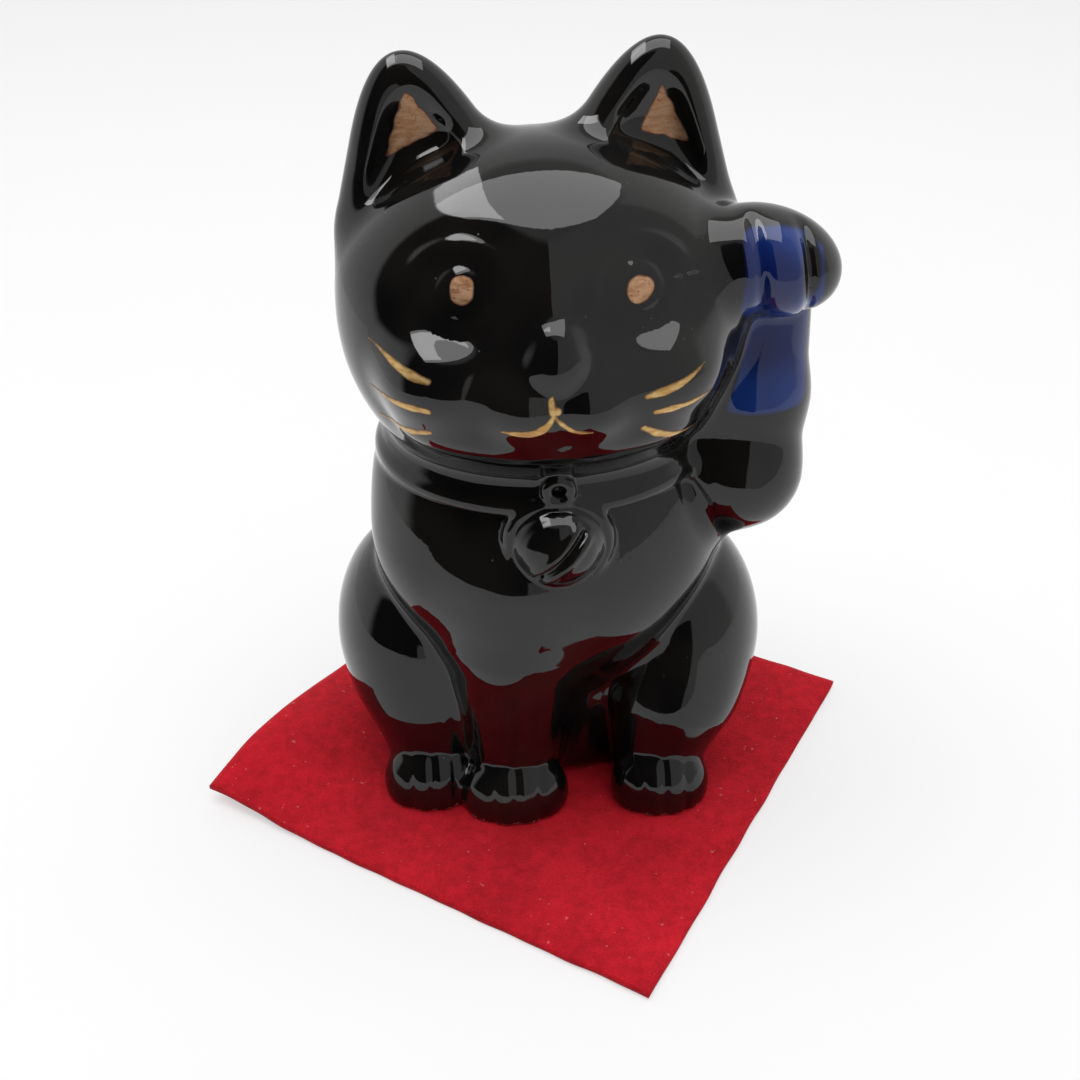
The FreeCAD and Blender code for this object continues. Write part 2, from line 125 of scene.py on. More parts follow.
def press(a, tool, soft):
    """What is left of a after a tool is pressed into it, with a rounded rim."""
    return -melt(-a, tool, soft)


def ramp(value, low, high):
    """0 below low, 1 above high, smooth between."""
    t = np.clip((value - low) / (high - low), 0, 1)
    return t * t * (3 - 2 * t)


def bump(value, centre, width):
    """A rounded ridge of height 1 round a centre."""
    return np.exp(-((value - centre) / width) ** 2)

# %% Turns and axes
def lean(degrees):
    """A turn about the cat's front-to-back axis."""
    c, s = math.cos(math.radians(degrees)), math.sin(math.radians(degrees))
    return np.array([[c, 0, s], [0, 1, 0], [-s, 0, c]])


def turned(a, b, angle):
    """Two coordinates read along axes that are turned by an angle."""
    c, s = math.cos(angle), math.sin(angle)
    return a * c + b * s, -a * s + b * c


def mirrored(p):
    """The same points with x made positive, so that one form makes a pair."""
    return np.concatenate([np.abs(p[..., :1]), p[..., 1:]], -1)


def unit(v):
    return v / np.maximum(np.linalg.norm(v, axis=-1, keepdims=True), 1e-9)


def axes_facing(direction):
    """A direction as a unit vector, and the axes across and up as seen against it."""
    facing = unit(np.array(direction, float))
    across = unit(np.cross([0, 0, 1], facing))
    return facing, across, np.cross(facing, across)

# %% [markdown]
# ## The head
#
# The skull is a wide flattened ball over a deeper jaw.  A low swelling carries the muzzle, so a
# shallow valley runs under the eyes, and a small nose sits where the bridge meets it.  Each eye
# is a dome in a socket, with a raised lid that runs to a point at the inner corner, and a round
# boss in the middle that will take the gold.  Such relief is thinner than the clay is thick, so
# it is added to the field as a height instead of being built from more balls.

# %% Eye relief
EYE_PLACE = np.array([14.9, -23.5, 113.6])
EYE_SHIFT = (0.6, 0, 0)
EYE_OUT, EYE_ACROSS, EYE_UP = axes_facing((0.33, -0.79, 0.515))
EYE_RADII = (8.6, 7.3)


DOME_HEIGHT, LID_HEIGHT, SOCKET_DEPTH = 1.0, 0.74, 2.6
GROOVE_DEPTH, GROOVE_RADIUS, BOSS_HEIGHT = 0.10, 4.5, 0.17


def eye_relief(p):
    """Height of the eye, its lid and its socket above the skull; p is mirrored already."""
    q = p - EYE_PLACE
    across, up, out = q @ EYE_ACROSS, q @ EYE_UP, q @ EYE_OUT
    ring = np.hypot(across / EYE_RADII[0], up / EYE_RADII[1])
    angle = np.degrees(np.arctan2(up, -across))
    dome = DOME_HEIGHT * np.clip(1 - ring ** 2, 0, 1)
    along_lid = ramp(angle, -38, 10) * (1 - ramp(angle, 150, 200))
    lid = LID_HEIGHT * along_lid * bump(ring, 1.0, 0.21)
    socket = SOCKET_DEPTH * np.exp(-(ring / 1.22) ** 3.5)
    from_middle = np.hypot(across, up)
    groove = GROOVE_DEPTH * bump(from_middle, GROOVE_RADIUS, 0.7)
    boss = BOSS_HEIGHT * (1 - ramp(from_middle, 2.0, 4.4))
    return (dome + lid - socket - groove + boss) * ramp(out, -9, -5)

# %% Ears
EAR_MIDDLE, EAR_THICKNESS, EAR_RIM = 4.0, 5.2, 3.4
EAR_ROOT, EAR_FOOT = 114, 112
EAR_EDGES_HEIGHT, INNER_EDGE, OUTER_EDGE = 133.5, 9.6, 29.3
OUTER_TIP, HOLLOW_TIP = 19, 8
HOLLOW_FORWARD = 2.0


def upright(p):
    """Both ears in the place of the left one, each with its own small lean."""
    above = np.maximum(p[..., 2:] - EAR_ROOT, 0)
    shift = np.where(p[..., :1] > 0, 0.055 * above - 0.3, 1.5 - 0.033 * above)
    return mirrored(np.concatenate([p[..., :1] + shift, p[..., 1:]], -1))


def ear_front(p, wider, tip):
    """Distance outside the outline of an ear as seen from the front."""
    x, above = p[..., 0], p[..., 2] - EAR_EDGES_HEIGHT
    inner = -0.809 * (x - INNER_EDGE) + 0.588 * above - wider
    outer = 0.973 * (x - OUTER_EDGE) + 0.232 * above
    return press(inner, -outer, tip)


def rounded_plate(edge, across):
    """A plate with a round edge; edge is the distance outside its outline."""
    return np.hypot(np.maximum(edge + EAR_THICKNESS, 0), across) - EAR_THICKNESS


def ear(p, wider):
    """The ear, with its hollow pressed in from the front; wider moves the inner edge out."""
    y = p[..., 1] - EAR_MIDDLE
    plate = rounded_plate(ear_front(p, wider, OUTER_TIP), y)
    hollow = rounded_plate(ear_front(p, wider, HOLLOW_TIP) + EAR_RIM,
                           y + EAR_THICKNESS + HOLLOW_FORWARD)
    return press(press(plate, hollow, 1.8), p[..., 2] - EAR_FOOT, 6)

# %% Head
def egg(p, centre, radii, below, temples):
    """An ellipsoid with a taller lower half, and some extra width at the temples."""
    q = p - np.array(centre)
    height = np.where(q[..., 2] > 0, radii[2], below)
    width = radii[0] + temples * bump(q[..., 2], 13, 7)
    return ball(q, 0, np.stack([width, np.full_like(width, radii[1]), height], -1))


SKULL, JAW_DEPTH, TEMPLES = ((0, -0.5, 100), (36.0, 28.8, 30.6)), 35.0, 1.4
CHEEK = (16, -17.5, 97.0), (12.5, 12.5, 10.0)
CHIN = (0, -18.9, 88.8), (24, 11.0, 7)
MUZZLE = (5.0, -25.8, 95.5), (7.2, 7.4, 6.2)
BRIDGE = (0.0, -27.0, 104.6), (4.2, 5.1, 4.7)
NOSE = (-0.4, -27.2, 102.0), (5.0, 5.2, 4.4)
LEFT_EAR_WIDER = 0.9


def head(p):
    d = melt(egg(p, *SKULL, JAW_DEPTH, TEMPLES), ball(mirrored(p), *CHEEK), 4)
    d = melt(d, ball(p, *CHIN), 5)
    for side in (1, -1):
        d = melt(d, ball(p * (side, 1, 1), *MUZZLE), 4)
    d = melt(melt(d, ball(p, *BRIDGE), 3.4), ball(p, *NOSE), 2.2)
    d = d - eye_relief(mirrored(p + np.array(EYE_SHIFT)))
    return melt(d, ear(upright(p), np.where(p[..., 0] > 0, LEFT_EAR_WIDER, 0)), 5)

# %% [markdown]
# ## The body, arm, collar, bell and tail
#
# The trunk is a tall ball on wide hips, with a straight right foreleg in front of it.  The
# haunches meet the trunk in a crease that is narrow but still glazed over.  Paws are balls with
# grooves pressed in front: three part the toes of a standing foot, two those of the raised paw.
# The raised forearm is luted to shoulder and cheek.  The collar is a strap with a rounded lower
# bead, and the bell is a dome in a flange with a slanting slit between two lips.

# %% Toes
def toe_grooves(p, centre, radii, depth, places):
    """Depth of the grooves that part a paw into toes, on its front only."""
    q = (p - np.array(centre)) / np.array(radii)
    front = ramp(-q[..., 1], 0.05, 0.55)
    groove = sum(bump(q[..., 0], place, 0.085) for place in places)
    rounding = 0.35 * sum(bump(q[..., 0], place, 0.22) for place in places)
    return depth * front * (groove + rounding)


def paw(p, centre, radii, depth, places):
    return ball(p, centre, radii) + toe_grooves(p, centre, radii, depth, places)

# %% Trunk and seat
TRUNK = (0, 3, 56), (33.7, 26.5, 35)
HIPS = (0, 10, 26), (35, 23, 27)
CHEST = (0, 2, 69), (28.5, 22.5, 16)
CHEST_SLOPE, SLOPE_MIDDLE, SLOPE_LIMIT = 0.30, 66, 5.0
SEAT_PLACE, SEAT_RADII, SEAT_HALF_HEIGHT = (0, 8, 10.0), (31, 23), 10


def trunk(p):
    """The chest leans back towards the collar, so its forms are sheared by height."""
    back = SLOPE_LIMIT * np.tanh(CHEST_SLOPE * (SLOPE_MIDDLE - p[..., 2:]) / SLOPE_LIMIT)
    q = np.concatenate([p[..., :1], p[..., 1:2] + back, p[..., 2:]], -1)
    d = melt(ball(q, *TRUNK), ball(p, *HIPS), 8)
    return melt(d, ball(q, *CHEST), 8)


def seat(p):
    """The flat-bottomed drum that fills in between the haunches."""
    q = p - np.array(SEAT_PLACE)
    near = np.hypot(q[..., 0] / SEAT_RADII[0], q[..., 1] / SEAT_RADII[1])
    return press((near - 1) * SEAT_RADII[1], SEAT_HALF_HEIGHT - np.abs(q[..., 2]), 4)

# %% Legs and feet
HIND_FEET = {1: (21.2, -21.7), -1: (-24.9, -16.3)}
FOOT_TOES, FOOT_GROOVE = (-0.45, 0, 0.45), 0.33
KNEE, KNEE_RADIUS = (-7.0, -14.2, 39), 14.0


def body(p):
    d = melt(trunk(p), seat(p), 5)
    leg = melt(limb(p, (-6.0, -12.6, 53), KNEE, 15.5, KNEE_RADIUS),
               limb(p, KNEE, (-8.0, -14.3, 8), KNEE_RADIUS, 9.8), 1)
    d = melt(d, leg, 4)
    for side, (x, y) in HIND_FEET.items():
        haunch = ball(p, (27.4 * side + 0.4, 3 - 2 * side, 29), (15.8, 22, 22), lean(-6 * side))
        shin = limb(p, (23.6 * side, y + 8.4, 17), (x, y + 4.9, 6), 11.6, 8.8)
        d = melt(d, melt(haunch, shin, 9), 2.2)
        d = melt(d, paw(p, (x, y, 3), (10.0, 7.5, 10), FOOT_GROOVE, FOOT_TOES), 1.2)
    return melt(d, paw(p, (-8.4, -21.6, 3), (10.9, 7.5, 10), FOOT_GROOVE, FOOT_TOES), 1.2)

# %% Raised arm
ELBOW, ELBOW_RADIUS = (36.0, -5.2, 68.0), 11.2
FOREARM, FOREARM_RADIUS = (37.9, -2.7, 82), 10.0
PAW_PLACE = (36.6, -9, 110.3)
PAW_RADII = (13.4, 9.8, 9.2)
PAW_LEAN, TOES_LEAN, PAW_TOES, PAW_GROOVE = 16, -8, (-0.17, 0.43), 0.9


def arm(p):
    d = limb(p, (28, 1, 58.5), ELBOW, 10.6, ELBOW_RADIUS)
    d = melt(d, limb(p, ELBOW, FOREARM, ELBOW_RADIUS, FOREARM_RADIUS), 3)
    d = melt(d, limb(p, FOREARM, (39.3, 1.6, 102), FOREARM_RADIUS, 8.8), 3)
    d = melt(d, limb(p, (26, 1, 68), (36.5, -3.5, 84), 9.5, 9.0), 4)
    d = melt(d, limb(p, (31, 3.5, 74), (34, 3.5, 98), 8.5, 7.5), 4)
    q = (p - np.array(PAW_PLACE)) @ lean(TOES_LEAN)
    toes = toe_grooves(q, (0, 0, 0), PAW_RADII, PAW_GROOVE, PAW_TOES)
    return melt(d, ball(p, PAW_PLACE, PAW_RADII, lean(PAW_LEAN)) + toes, 3.5)

# %% Collar
def hoop(p, centre, half_width, half_depth):
    """Distance out from an upright elliptic wall round a centre, and height above it."""
    q = p - np.array(centre)
    near = np.hypot(q[..., 0] / half_width, q[..., 1] / half_depth)
    slope = np.hypot(q[..., 0] / half_width ** 2, q[..., 1] / half_depth ** 2)
    return near * (near - 1) / np.maximum(slope, 1e-9), q[..., 2]


COLLAR_PLACE, COLLAR_HALF_WIDTH, COLLAR_HALF_DEPTH = (0, 3.2, 75.2), 28.3, 24.9
STRAP_THICK, STRAP_HIGH, STRAP_SLOPE = 2.0, 3.6, 0.45
BEAD_OUT, BEAD_DOWN, BEAD_RADIUS = 1.3, 2.4, 1.9


def collar(p):
    """A strap whose face slopes outwards below, with a round bead along its lower edge."""
    out, up = hoop(p, COLLAR_PLACE, COLLAR_HALF_WIDTH, COLLAR_HALF_DEPTH)
    face = out + STRAP_SLOPE * up
    near = ((np.abs(face) / STRAP_THICK) ** 4 + (np.abs(up) / STRAP_HIGH) ** 4) ** 0.25
    bead = np.hypot(out - BEAD_OUT, up + BEAD_DOWN) - BEAD_RADIUS
    return melt((near - 1) * STRAP_THICK, bead, 0.8)

# %% Bell
BELL_PLACE, SLIT_TURN = np.array([0.5, -23.5, 65.3]), math.radians(48)


def bell(p):
    q = p - BELL_PLACE
    flange = ball(q, (0, 0.5, 0), (10.2, 4.6, 10.2))
    flange = flange + 0.5 * bump(np.hypot(q[..., 0], q[..., 2]), 8.2, 0.7)
    d = melt(flange, ball(q, (0, -0.6, 0), (7.7, 6.4, 7.7)), 0.8)
    along, across = turned(q[..., 0], q[..., 2], SLIT_TURN)
    front = ramp(-q[..., 1], 0, 3) * (1 - ramp(np.abs(along), 5.2, 7.2))
    d = d + front * (0.9 * bump(across, 0, 0.55) - 0.35 * bump(np.abs(across), 1.5, 0.7))
    ring = np.hypot(np.hypot(q[..., 0], q[..., 2] - 11.0) - 2.0, q[..., 1] + 0.6) - 1.1
    return melt(d, ring, 1.0)

# %% Tail
TAIL_BEND, TAIL_RADIUS = (13, 33.0, 8.6), 5.3


def tail(p):
    d = limb(p, (0, 28, 8), TAIL_BEND, 5.8, TAIL_RADIUS)
    return melt(d, limb(p, TAIL_BEND, (24, 27, 15.5), TAIL_RADIUS, 3.6), 3)

# %% [markdown]
# ## From field to mesh
#
# The six cast pieces share one skin of glaze, but each is its own solid.  A point inside the
# clay belongs to the piece whose own field is lowest there, so two pieces part along the line
# where their fields are equal, which is where the potter luted them.  The base has a kiln vent,
# a round hole that lets steam out of the hollow, and it opens into a wide dark room.

# %% The pieces and the whole
PIECES = {
    "body_casting": body, "head_casting": head, "raised_arm": arm,
    "collar": collar, "bell": bell, "tail": tail,
}
SOFT = {"collar": 1.2, "head_casting": 2.0, "raised_arm": 3.5, "bell": 1.0, "tail": 2.0}
VENT_PLACE, VENT_RADIUS, VENT_DEPTH = (0, 14), 5.0, 20
VENT_ROOM = (15, 12, 14)


def vent(p):
    hole = np.hypot(p[..., 0] - VENT_PLACE[0], p[..., 1] - VENT_PLACE[1]) - VENT_RADIUS
    hole = np.maximum(hole, p[..., 2] - VENT_DEPTH)
    return melt(hole, ball(p, (*VENT_PLACE, VENT_DEPTH), VENT_ROOM), 1.5)


def clay(p, name=None):
    """Field of the whole figure, and how far the points are from the named piece's share."""
    own = {piece: form(p) for piece, form in PIECES.items()}
    whole = own["body_casting"]
    for piece, soft in SOFT.items():
        whole = melt(whole, own[piece], soft)
    whole = press(whole, p[..., 2], 1.0)
    whole = press(whole, vent(p), 0.8)
    if name is None:
        return whole
    others = np.minimum.reduce([own[piece] for piece in PIECES if piece != name])
    return whole, own[name] - others

# %% [markdown]
# The mesh is grown on a grid.  Blocks far from any surface are skipped, the rest are sampled,
# and each grid cell that the surface crosses gets one corner of the mesh.  The corners are then
# slid downhill until they lie exactly on the clay, and on the parting line too where they
# belong to it.  The slope of the field also gives the shading normal at each corner, which is
# what lets a glaze this shiny mirror its surroundings without showing the grid.

# %% Slope of a field
TIP = 0.04
TETRA = np.array([(1, -1, -1), (-1, -1, 1), (-1, 1, -1), (1, 1, 1)]) * TIP
CHUNK = 40000


def slopes(field, p):
    """Values of one or more fields at the points, and their gradients."""
    values, gradients = [], []
    for start in range(0, len(p), CHUNK):
        part = p[start:start + CHUNK]
        tips = np.stack(field((part[:, None] + TETRA).reshape(-1, 3)))
        tips = tips.reshape(len(tips), -1, 4)
        values.append(tips.mean(-1))
        gradients.append(np.einsum("fnk,kc->fnc", tips, TETRA) / (4 * TIP ** 2))
    return np.concatenate(values, 1), np.concatenate(gradients, 1)

# %% Sampling a piece on a grid
BLOCK, BLOCKS_AT_ONCE = 8, 60


def sample(name, low, high, step):
    """Both fields of a piece on a grid, exact near its surface and coarse far away."""
    size = np.ceil((high - low) / (step * BLOCK)).astype(int)
    centres = low + step * BLOCK * (np.stack(np.indices(size), -1) + 0.5)
    coarse = clay(centres.reshape(-1, 3), name)
    near = np.abs(np.maximum(*coarse)) < step * BLOCK * 1.3 + 1.0
    grids = []
    for values in coarse:
        grid = values.reshape(size).astype(np.float32)
        for axis in range(3):
            grid = np.repeat(grid, BLOCK, axis)
        grids.append(np.pad(grid, (0, 1), mode="edge"))
    inner = np.stack(np.indices((BLOCK + 1,) * 3), -1).reshape(-1, 3)
    corners = np.stack(np.unravel_index(np.flatnonzero(near), size), -1) * BLOCK
    for start in range(0, len(corners), BLOCKS_AT_ONCE):
        at = corners[start:start + BLOCKS_AT_ONCE, None] + inner
        for grid, values in zip(grids, clay((low + step * at).reshape(-1, 3), name)):
            grid[at[..., 0], at[..., 1], at[..., 2]] = values.reshape(at.shape[:2])
    return grids

# %% One corner for each crossed cell
def cell_corners(solid):
    """Numbers of the cells that the surface of a grid of solid and empty crosses."""
    count = sum(solid[i:solid.shape[0] - 1 + i, j:solid.shape[1] - 1 + j,
                      k:solid.shape[2] - 1 + k].astype(np.int8)
                for i in (0, 1) for j in (0, 1) for k in (0, 1))
    crossed = (count > 0) & (count < 8)
    number = np.full(crossed.shape, -1)
    cells = np.argwhere(crossed)
    number[crossed] = np.arange(len(cells))
    return cells, number


def cell_middles(cells, depth):
    """Mean of the points where the edges of each cell cross the surface."""
    total, crossings = np.zeros((len(cells), 3)), np.zeros(len(cells))
    for corner in np.ndindex(2, 2, 2):
        for axis in range(3):
            if corner[axis]:
                continue
            start = np.array(corner)
            end = start + np.eye(3, dtype=int)[axis]
            a = depth[tuple((cells + start).T)]
            b = depth[tuple((cells + end).T)]
            cut = (a < 0) != (b < 0)
            share = np.where(cut, a / np.where(cut, a - b, 1), 0)
            total += (start + np.outer(share, np.eye(3)[axis])) * cut[:, None]
            crossings += cut
    return cells + total / crossings[:, None]

# %% Quads between the corners
def grid_quads(solid, skin, number):
    """Quads of the surface, and whether each lies on the skin or on a parting wall."""
    quads, on_skin = [], []
    for axis in range(3):
        first, second = (axis + 1) % 3, (axis + 2) % 3
        before = [slice(None)] * 3
        after = [slice(None)] * 3
        before[axis], after[axis] = slice(0, -1), slice(1, None)
        edges = np.argwhere(solid[tuple(before)] != solid[tuple(after)])
        step = np.eye(3, dtype=int)
        around = [edges - step[first] - step[second], edges - step[second],
                  edges, edges - step[first]]
        quad = np.stack([number[tuple(cell.T)] for cell in around], 1)
        start_solid = solid[tuple(edges.T)]
        quad[~start_solid] = quad[~start_solid][:, ::-1]
        outer = edges + np.where(start_solid[:, None], step[axis], 0)
        quads.append(quad)
        on_skin.append(skin[tuple(outer.T)])
    return np.concatenate(quads), np.concatenate(on_skin)

# %% Settling the corners on the clay
SETTLE_ROUNDS = 3


def settle(name, points, on_skin, on_wall, step):
    """Slide the corners onto the skin, the parting wall, or the line where they meet."""
    start = points.copy()
    for _ in range(SETTLE_ROUNDS):
        (skin, wall), (skin_slope, wall_slope) = slopes(lambda p: clay(p, name), points)
        a = (skin_slope ** 2).sum(-1) + 1e-6
        b = (wall_slope ** 2).sum(-1) + 1e-6
        ab = (skin_slope * wall_slope).sum(-1) * (on_skin & on_wall)
        skin, wall = skin * on_skin, wall * on_wall
        spread = np.maximum(a * b - ab ** 2, 0.05 * a * b)
        by_skin = (skin * b - wall * ab) / spread
        by_wall = (wall * a - skin * ab) / spread
        points = points - by_skin[:, None] * skin_slope - by_wall[:, None] * wall_slope
        points = start + np.clip(points - start, -step, step)
    _, (skin_slope, wall_slope) = slopes(lambda p: clay(p, name), points)
    return points, unit(skin_slope), unit(wall_slope)


def corner_kinds(cells, skin_grid, wall_grid):
    """Whether each cell touches the air, and whether it touches a neighbouring piece."""
    air, neighbour = np.zeros(len(cells), bool), np.zeros(len(cells), bool)
    for corner in np.ndindex(2, 2, 2):
        at = tuple((cells + corner).T)
        outside = skin_grid[at] >= 0
        air |= outside
        neighbour |= ~outside & (wall_grid[at] >= 0)
    return air, neighbour

# %% A mesh from corners and quads
def to_world(p):
    return p * MM + stand


def new_piece(name, points, quads, normals=None, finishes=(), finish_of=None):
    """A smooth object from points in millimetres of the cat's frame."""
    mesh = bpy.data.meshes.new(name)
    mesh.vertices.add(len(points))
    mesh.vertices.foreach_set("co", to_world(points).astype(np.float32).ravel())
    mesh.loops.add(quads.size)
    mesh.loops.foreach_set("vertex_index", quads.astype(np.int32).ravel())
    mesh.polygons.add(len(quads))
    mesh.polygons.foreach_set("loop_start", np.arange(0, quads.size, quads.shape[1]))
    for finish in finishes:
        mesh.materials.append(finish)
    if finish_of is not None:
        mesh.polygons.foreach_set("material_index", finish_of.astype(np.int32))
    mesh.polygons.foreach_set("use_smooth", np.ones(len(quads), bool))
    mesh.update(calc_edges=True)
    if normals is not None:
        mesh.normals_split_custom_set(normals.reshape(-1, 3).astype(np.float32))
    piece = bpy.data.objects.new(name, mesh)
    bpy.context.scene.collection.objects.link(piece)
    return piece

# %% From one field to one closed piece
ROOM = 9.0


def cast(name, step):
    """The closed mesh of one piece: points, quads, a normal for each quad corner, and kinds."""
    low, high = (np.array(corner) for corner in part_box(name))
    low, high = (low - stand) / MM - ROOM, (high - stand) / MM + ROOM
    skin_grid, wall_grid = sample(name, low, high, step)
    depth = np.maximum(skin_grid, wall_grid)
    shell = np.ones(depth.shape, bool)
    shell[1:-1, 1:-1, 1:-1] = False
    if (depth[shell] < 0).any():
        raise ValueError(name + " reaches the edge of its grid")
    solid = depth < 0
    cells, number = cell_corners(solid)
    quads, on_skin = grid_quads(solid, skin_grid >= 0, number)
    air, neighbour = corner_kinds(cells, skin_grid, wall_grid)
    points = low + step * cell_middles(cells, depth)
    points, skin_normal, wall_normal = settle(name, points, air, neighbour, step)
    normals = np.where(on_skin[:, None, None], skin_normal[quads], wall_normal[quads])
    return points, quads, normals, on_skin

# %% [markdown]
# ## Effects for the finishes
#
# Three small shader groups serve the painted and glazed finishes.  Hand-dipped glaze is never
# quite flat, so one group gives slow waves and rare pinholes.  A figurine on a shelf has a little
# dust and a few wiped smears, and both change how sharp the mirror is.  Painted colour thins
# towards its outline, and the brush leaves streaks.  Each group hands out only masks and heights,
# and the material decides what they do to colour, roughness and bump.

# %% A helper that wires shader nodes
class Wires:
    """Adds nodes to a tree and connects them; a number or a socket may stand for any input."""

    def __init__(self, tree):
        self.tree = tree

    def node(self, kind, output=0, **inputs):
        made = self.tree.nodes.new(kind)
        for key, value in inputs.items():
            if key.startswith("set_"):
                setattr(made, key[4:], value)
                continue
            name = key.replace("_", " ")
            socket = next((s for s in made.inputs if s.name == name and s.enabled), None)
            if socket is None:
                socket = made.inputs[int(key[3:])]
            self.feed(socket, value)
        return made.outputs[output]

    def feed(self, socket, value):
        if isinstance(value, bpy.types.NodeSocket):
            self.tree.links.new(value, socket)
        else:
            socket.default_value = value

    def math(self, operation, a, b=0.0, c=0.0):
        return self.node("ShaderNodeMath", set_operation=operation, in_0=a, in_1=b, in_2=c)

    def times(self, a, b):
        return self.math("MULTIPLY", a, b)

    def plus(self, a, b):
        return self.math("ADD", a, b)

    def remap(self, value, low, high, to_low=0.0, to_high=1.0):
        return self.node("ShaderNodeMapRange", set_interpolation_type="SMOOTHSTEP", Value=value,
                         in_1=low, in_2=high, in_3=to_low, in_4=to_high)

    def fade(self, share, a, b):
        """The number a where share is 0, b where it is 1."""
        return self.plus(self.times(a, self.math("SUBTRACT", 1.0, share)), self.times(share, b))

    def blend(self, factor, a, b):
        made = self.tree.nodes.new("ShaderNodeMix")
        made.data_type = "RGBA"
        for number, value in ((0, factor), (6, a), (7, b)):
            self.feed(made.inputs[number], value)
        return made.outputs[2]

    def noise(self, place, scale, detail=2.0, roughness=0.5):
        return self.node("ShaderNodeTexNoise", Vector=place, Scale=scale, Detail=detail,
                         Roughness=roughness)

    def place(self):
        return self.node("ShaderNodeTexCoord", output=3)

# %% Helpers that make and use shader groups
def new_group(name, inputs, outputs):
    """A shader group of named numbers: the group, its wires, and its sockets in and out."""
    group = bpy.data.node_groups.new(name, "ShaderNodeTree")
    group.interface.new_socket(name="Place", in_out="INPUT", socket_type="NodeSocketVector")
    for label, value in inputs.items():
        socket = group.interface.new_socket(name=label, in_out="INPUT",
                                            socket_type="NodeSocketFloat")
        socket.default_value = value
    for label in outputs:
        group.interface.new_socket(name=label, in_out="OUTPUT", socket_type="NodeSocketFloat")
    given, result = (group.nodes.new(kind) for kind in ("NodeGroupInput", "NodeGroupOutput"))
    return group, Wires(group), given.outputs, result.inputs


def use_group(wires, group, **inputs):
    made = wires.tree.nodes.new("ShaderNodeGroup")
    made.node_tree = group
    for name, value in inputs.items():
        wires.feed(made.inputs[name.replace("_", " ")], value)
    return made.outputs

# %% Glaze surface: slow waves, fine ripple and pinholes
glaze_surface, w, given, result = new_group(
    "glaze_surface", {"Wave": 1.0, "Pinholes": 1.0}, ["Height", "Pool"])
slow = w.noise(given["Place"], 70.0, 1.0)
fine = w.noise(given["Place"], 420.0, 2.0)
height = w.times(w.plus(slow, w.times(fine, 0.10)), given["Wave"])
cell = w.node("ShaderNodeTexVoronoi", Vector=given["Place"], Scale=260.0)
chosen = w.remap(w.noise(given["Place"], 95.0, 0.0), 0.70, 0.74)
pit = w.times(w.remap(cell, 0.10, 0.0), chosen)
pit = w.times(pit, given["Pinholes"])
w.feed(result["Height"], w.math("SUBTRACT", height, w.times(pit, 0.35)))
w.feed(result["Pool"], slow)

# %% Dust specks and wiped smears
dust_and_smears, w, given, result = new_group(
    "dust_and_smears", {"Amount": 1.0}, ["Dust", "Smear"])
cell = w.node("ShaderNodeTexVoronoi", Vector=given["Place"], Scale=650.0)
chosen = w.remap(w.noise(given["Place"], 310.0, 1.0), 0.66, 0.70)
speck = w.times(w.remap(cell, 0.16, 0.04), chosen)
facing = w.node("ShaderNodeNewGeometry", output=1)
up = w.node("ShaderNodeSeparateXYZ", output=2, Vector=facing)
settled = w.remap(up, -0.2, 0.9, 0.15, 1.0)
w.feed(result["Dust"], w.times(w.times(speck, settled), given["Amount"]))
stretched = w.node("ShaderNodeMapping", Vector=given["Place"], Scale=(60, 60, 22))
smear = w.remap(w.noise(stretched, 1.0, 4.0, 0.6), 0.5, 0.75)
w.feed(result["Smear"], w.times(smear, given["Amount"]))

# %% Brushwork: streaks along the stroke and a thin ragged rim
brushwork, w, given, result = new_group(
    "brushwork", {"Inside": 1.0, "Rim": 0.2, "Grain": 1.0}, ["Cover", "Streak", "Grit"])
wobble = w.noise(given["Place"], 900.0, 2.0)
ragged = w.times(w.math("SUBTRACT", wobble, 0.5), given["Rim"])
rim = w.plus(given["Inside"], ragged)
w.feed(result["Cover"],
       w.node("ShaderNodeMapRange", set_interpolation_type="SMOOTHSTEP", Value=rim,
              in_1=0.0, in_2=given["Rim"]))
along = w.node("ShaderNodeMapping", Vector=given["Place"], Scale=(380, 380, 1300))
w.feed(result["Streak"], w.times(w.noise(along, 1.0, 3.0, 0.6), given["Grain"]))
w.feed(result["Grit"], w.remap(w.noise(given["Place"], 2600.0, 2.0), 0.58, 0.72))
print("shader groups:", [group.name for group in bpy.data.node_groups])

# %% [markdown]
# ## The finishes
#
# Black glaze is a clear glass over iron-dark clay: nearly no colour of its own, and a mirror
# that returns four parts in a hundred face on and far more at a glancing angle.  That is what a
# plain Principled shader does with a dark base and a low roughness, so no coat is needed.  The
# blue is the same glass with cobalt in it, thinning into the black at its outline.  Gold lustre
# is a film of metal a few atoms thick, rubbed and slightly brown at the rim of each stroke.

# %% A new material with its wires
def new_finish(name, **constants):
    finish = bpy.data.materials.new(name)
    finish.use_nodes = True
    shader = finish.node_tree.nodes["Principled BSDF"]
    for key, value in constants.items():
        shader.inputs[key.replace("_", " ")].default_value = value
    wires = Wires(finish.node_tree)
    return finish, wires, shader, wires.place()


def attribute(wires, name):
    return wires.node("ShaderNodeAttribute", output=2, set_attribute_name=name)


def add_bump(wires, shader, height, distance):
    normal = wires.node("ShaderNodeBump", Height=height, Distance=distance)
    wires.feed(shader.inputs["Normal"], normal)

# %% Black and blue glaze
BLACK_THIN, BLACK_DEEP = (0.0085, 0.0075, 0.0065, 1), (0.0035, 0.0033, 0.0036, 1)
BLUE_THIN, BLUE_DEEP = (0.010, 0.036, 0.19, 1), (0.004, 0.014, 0.105, 1)
DUST_GREY = (0.20, 0.19, 0.18, 1)


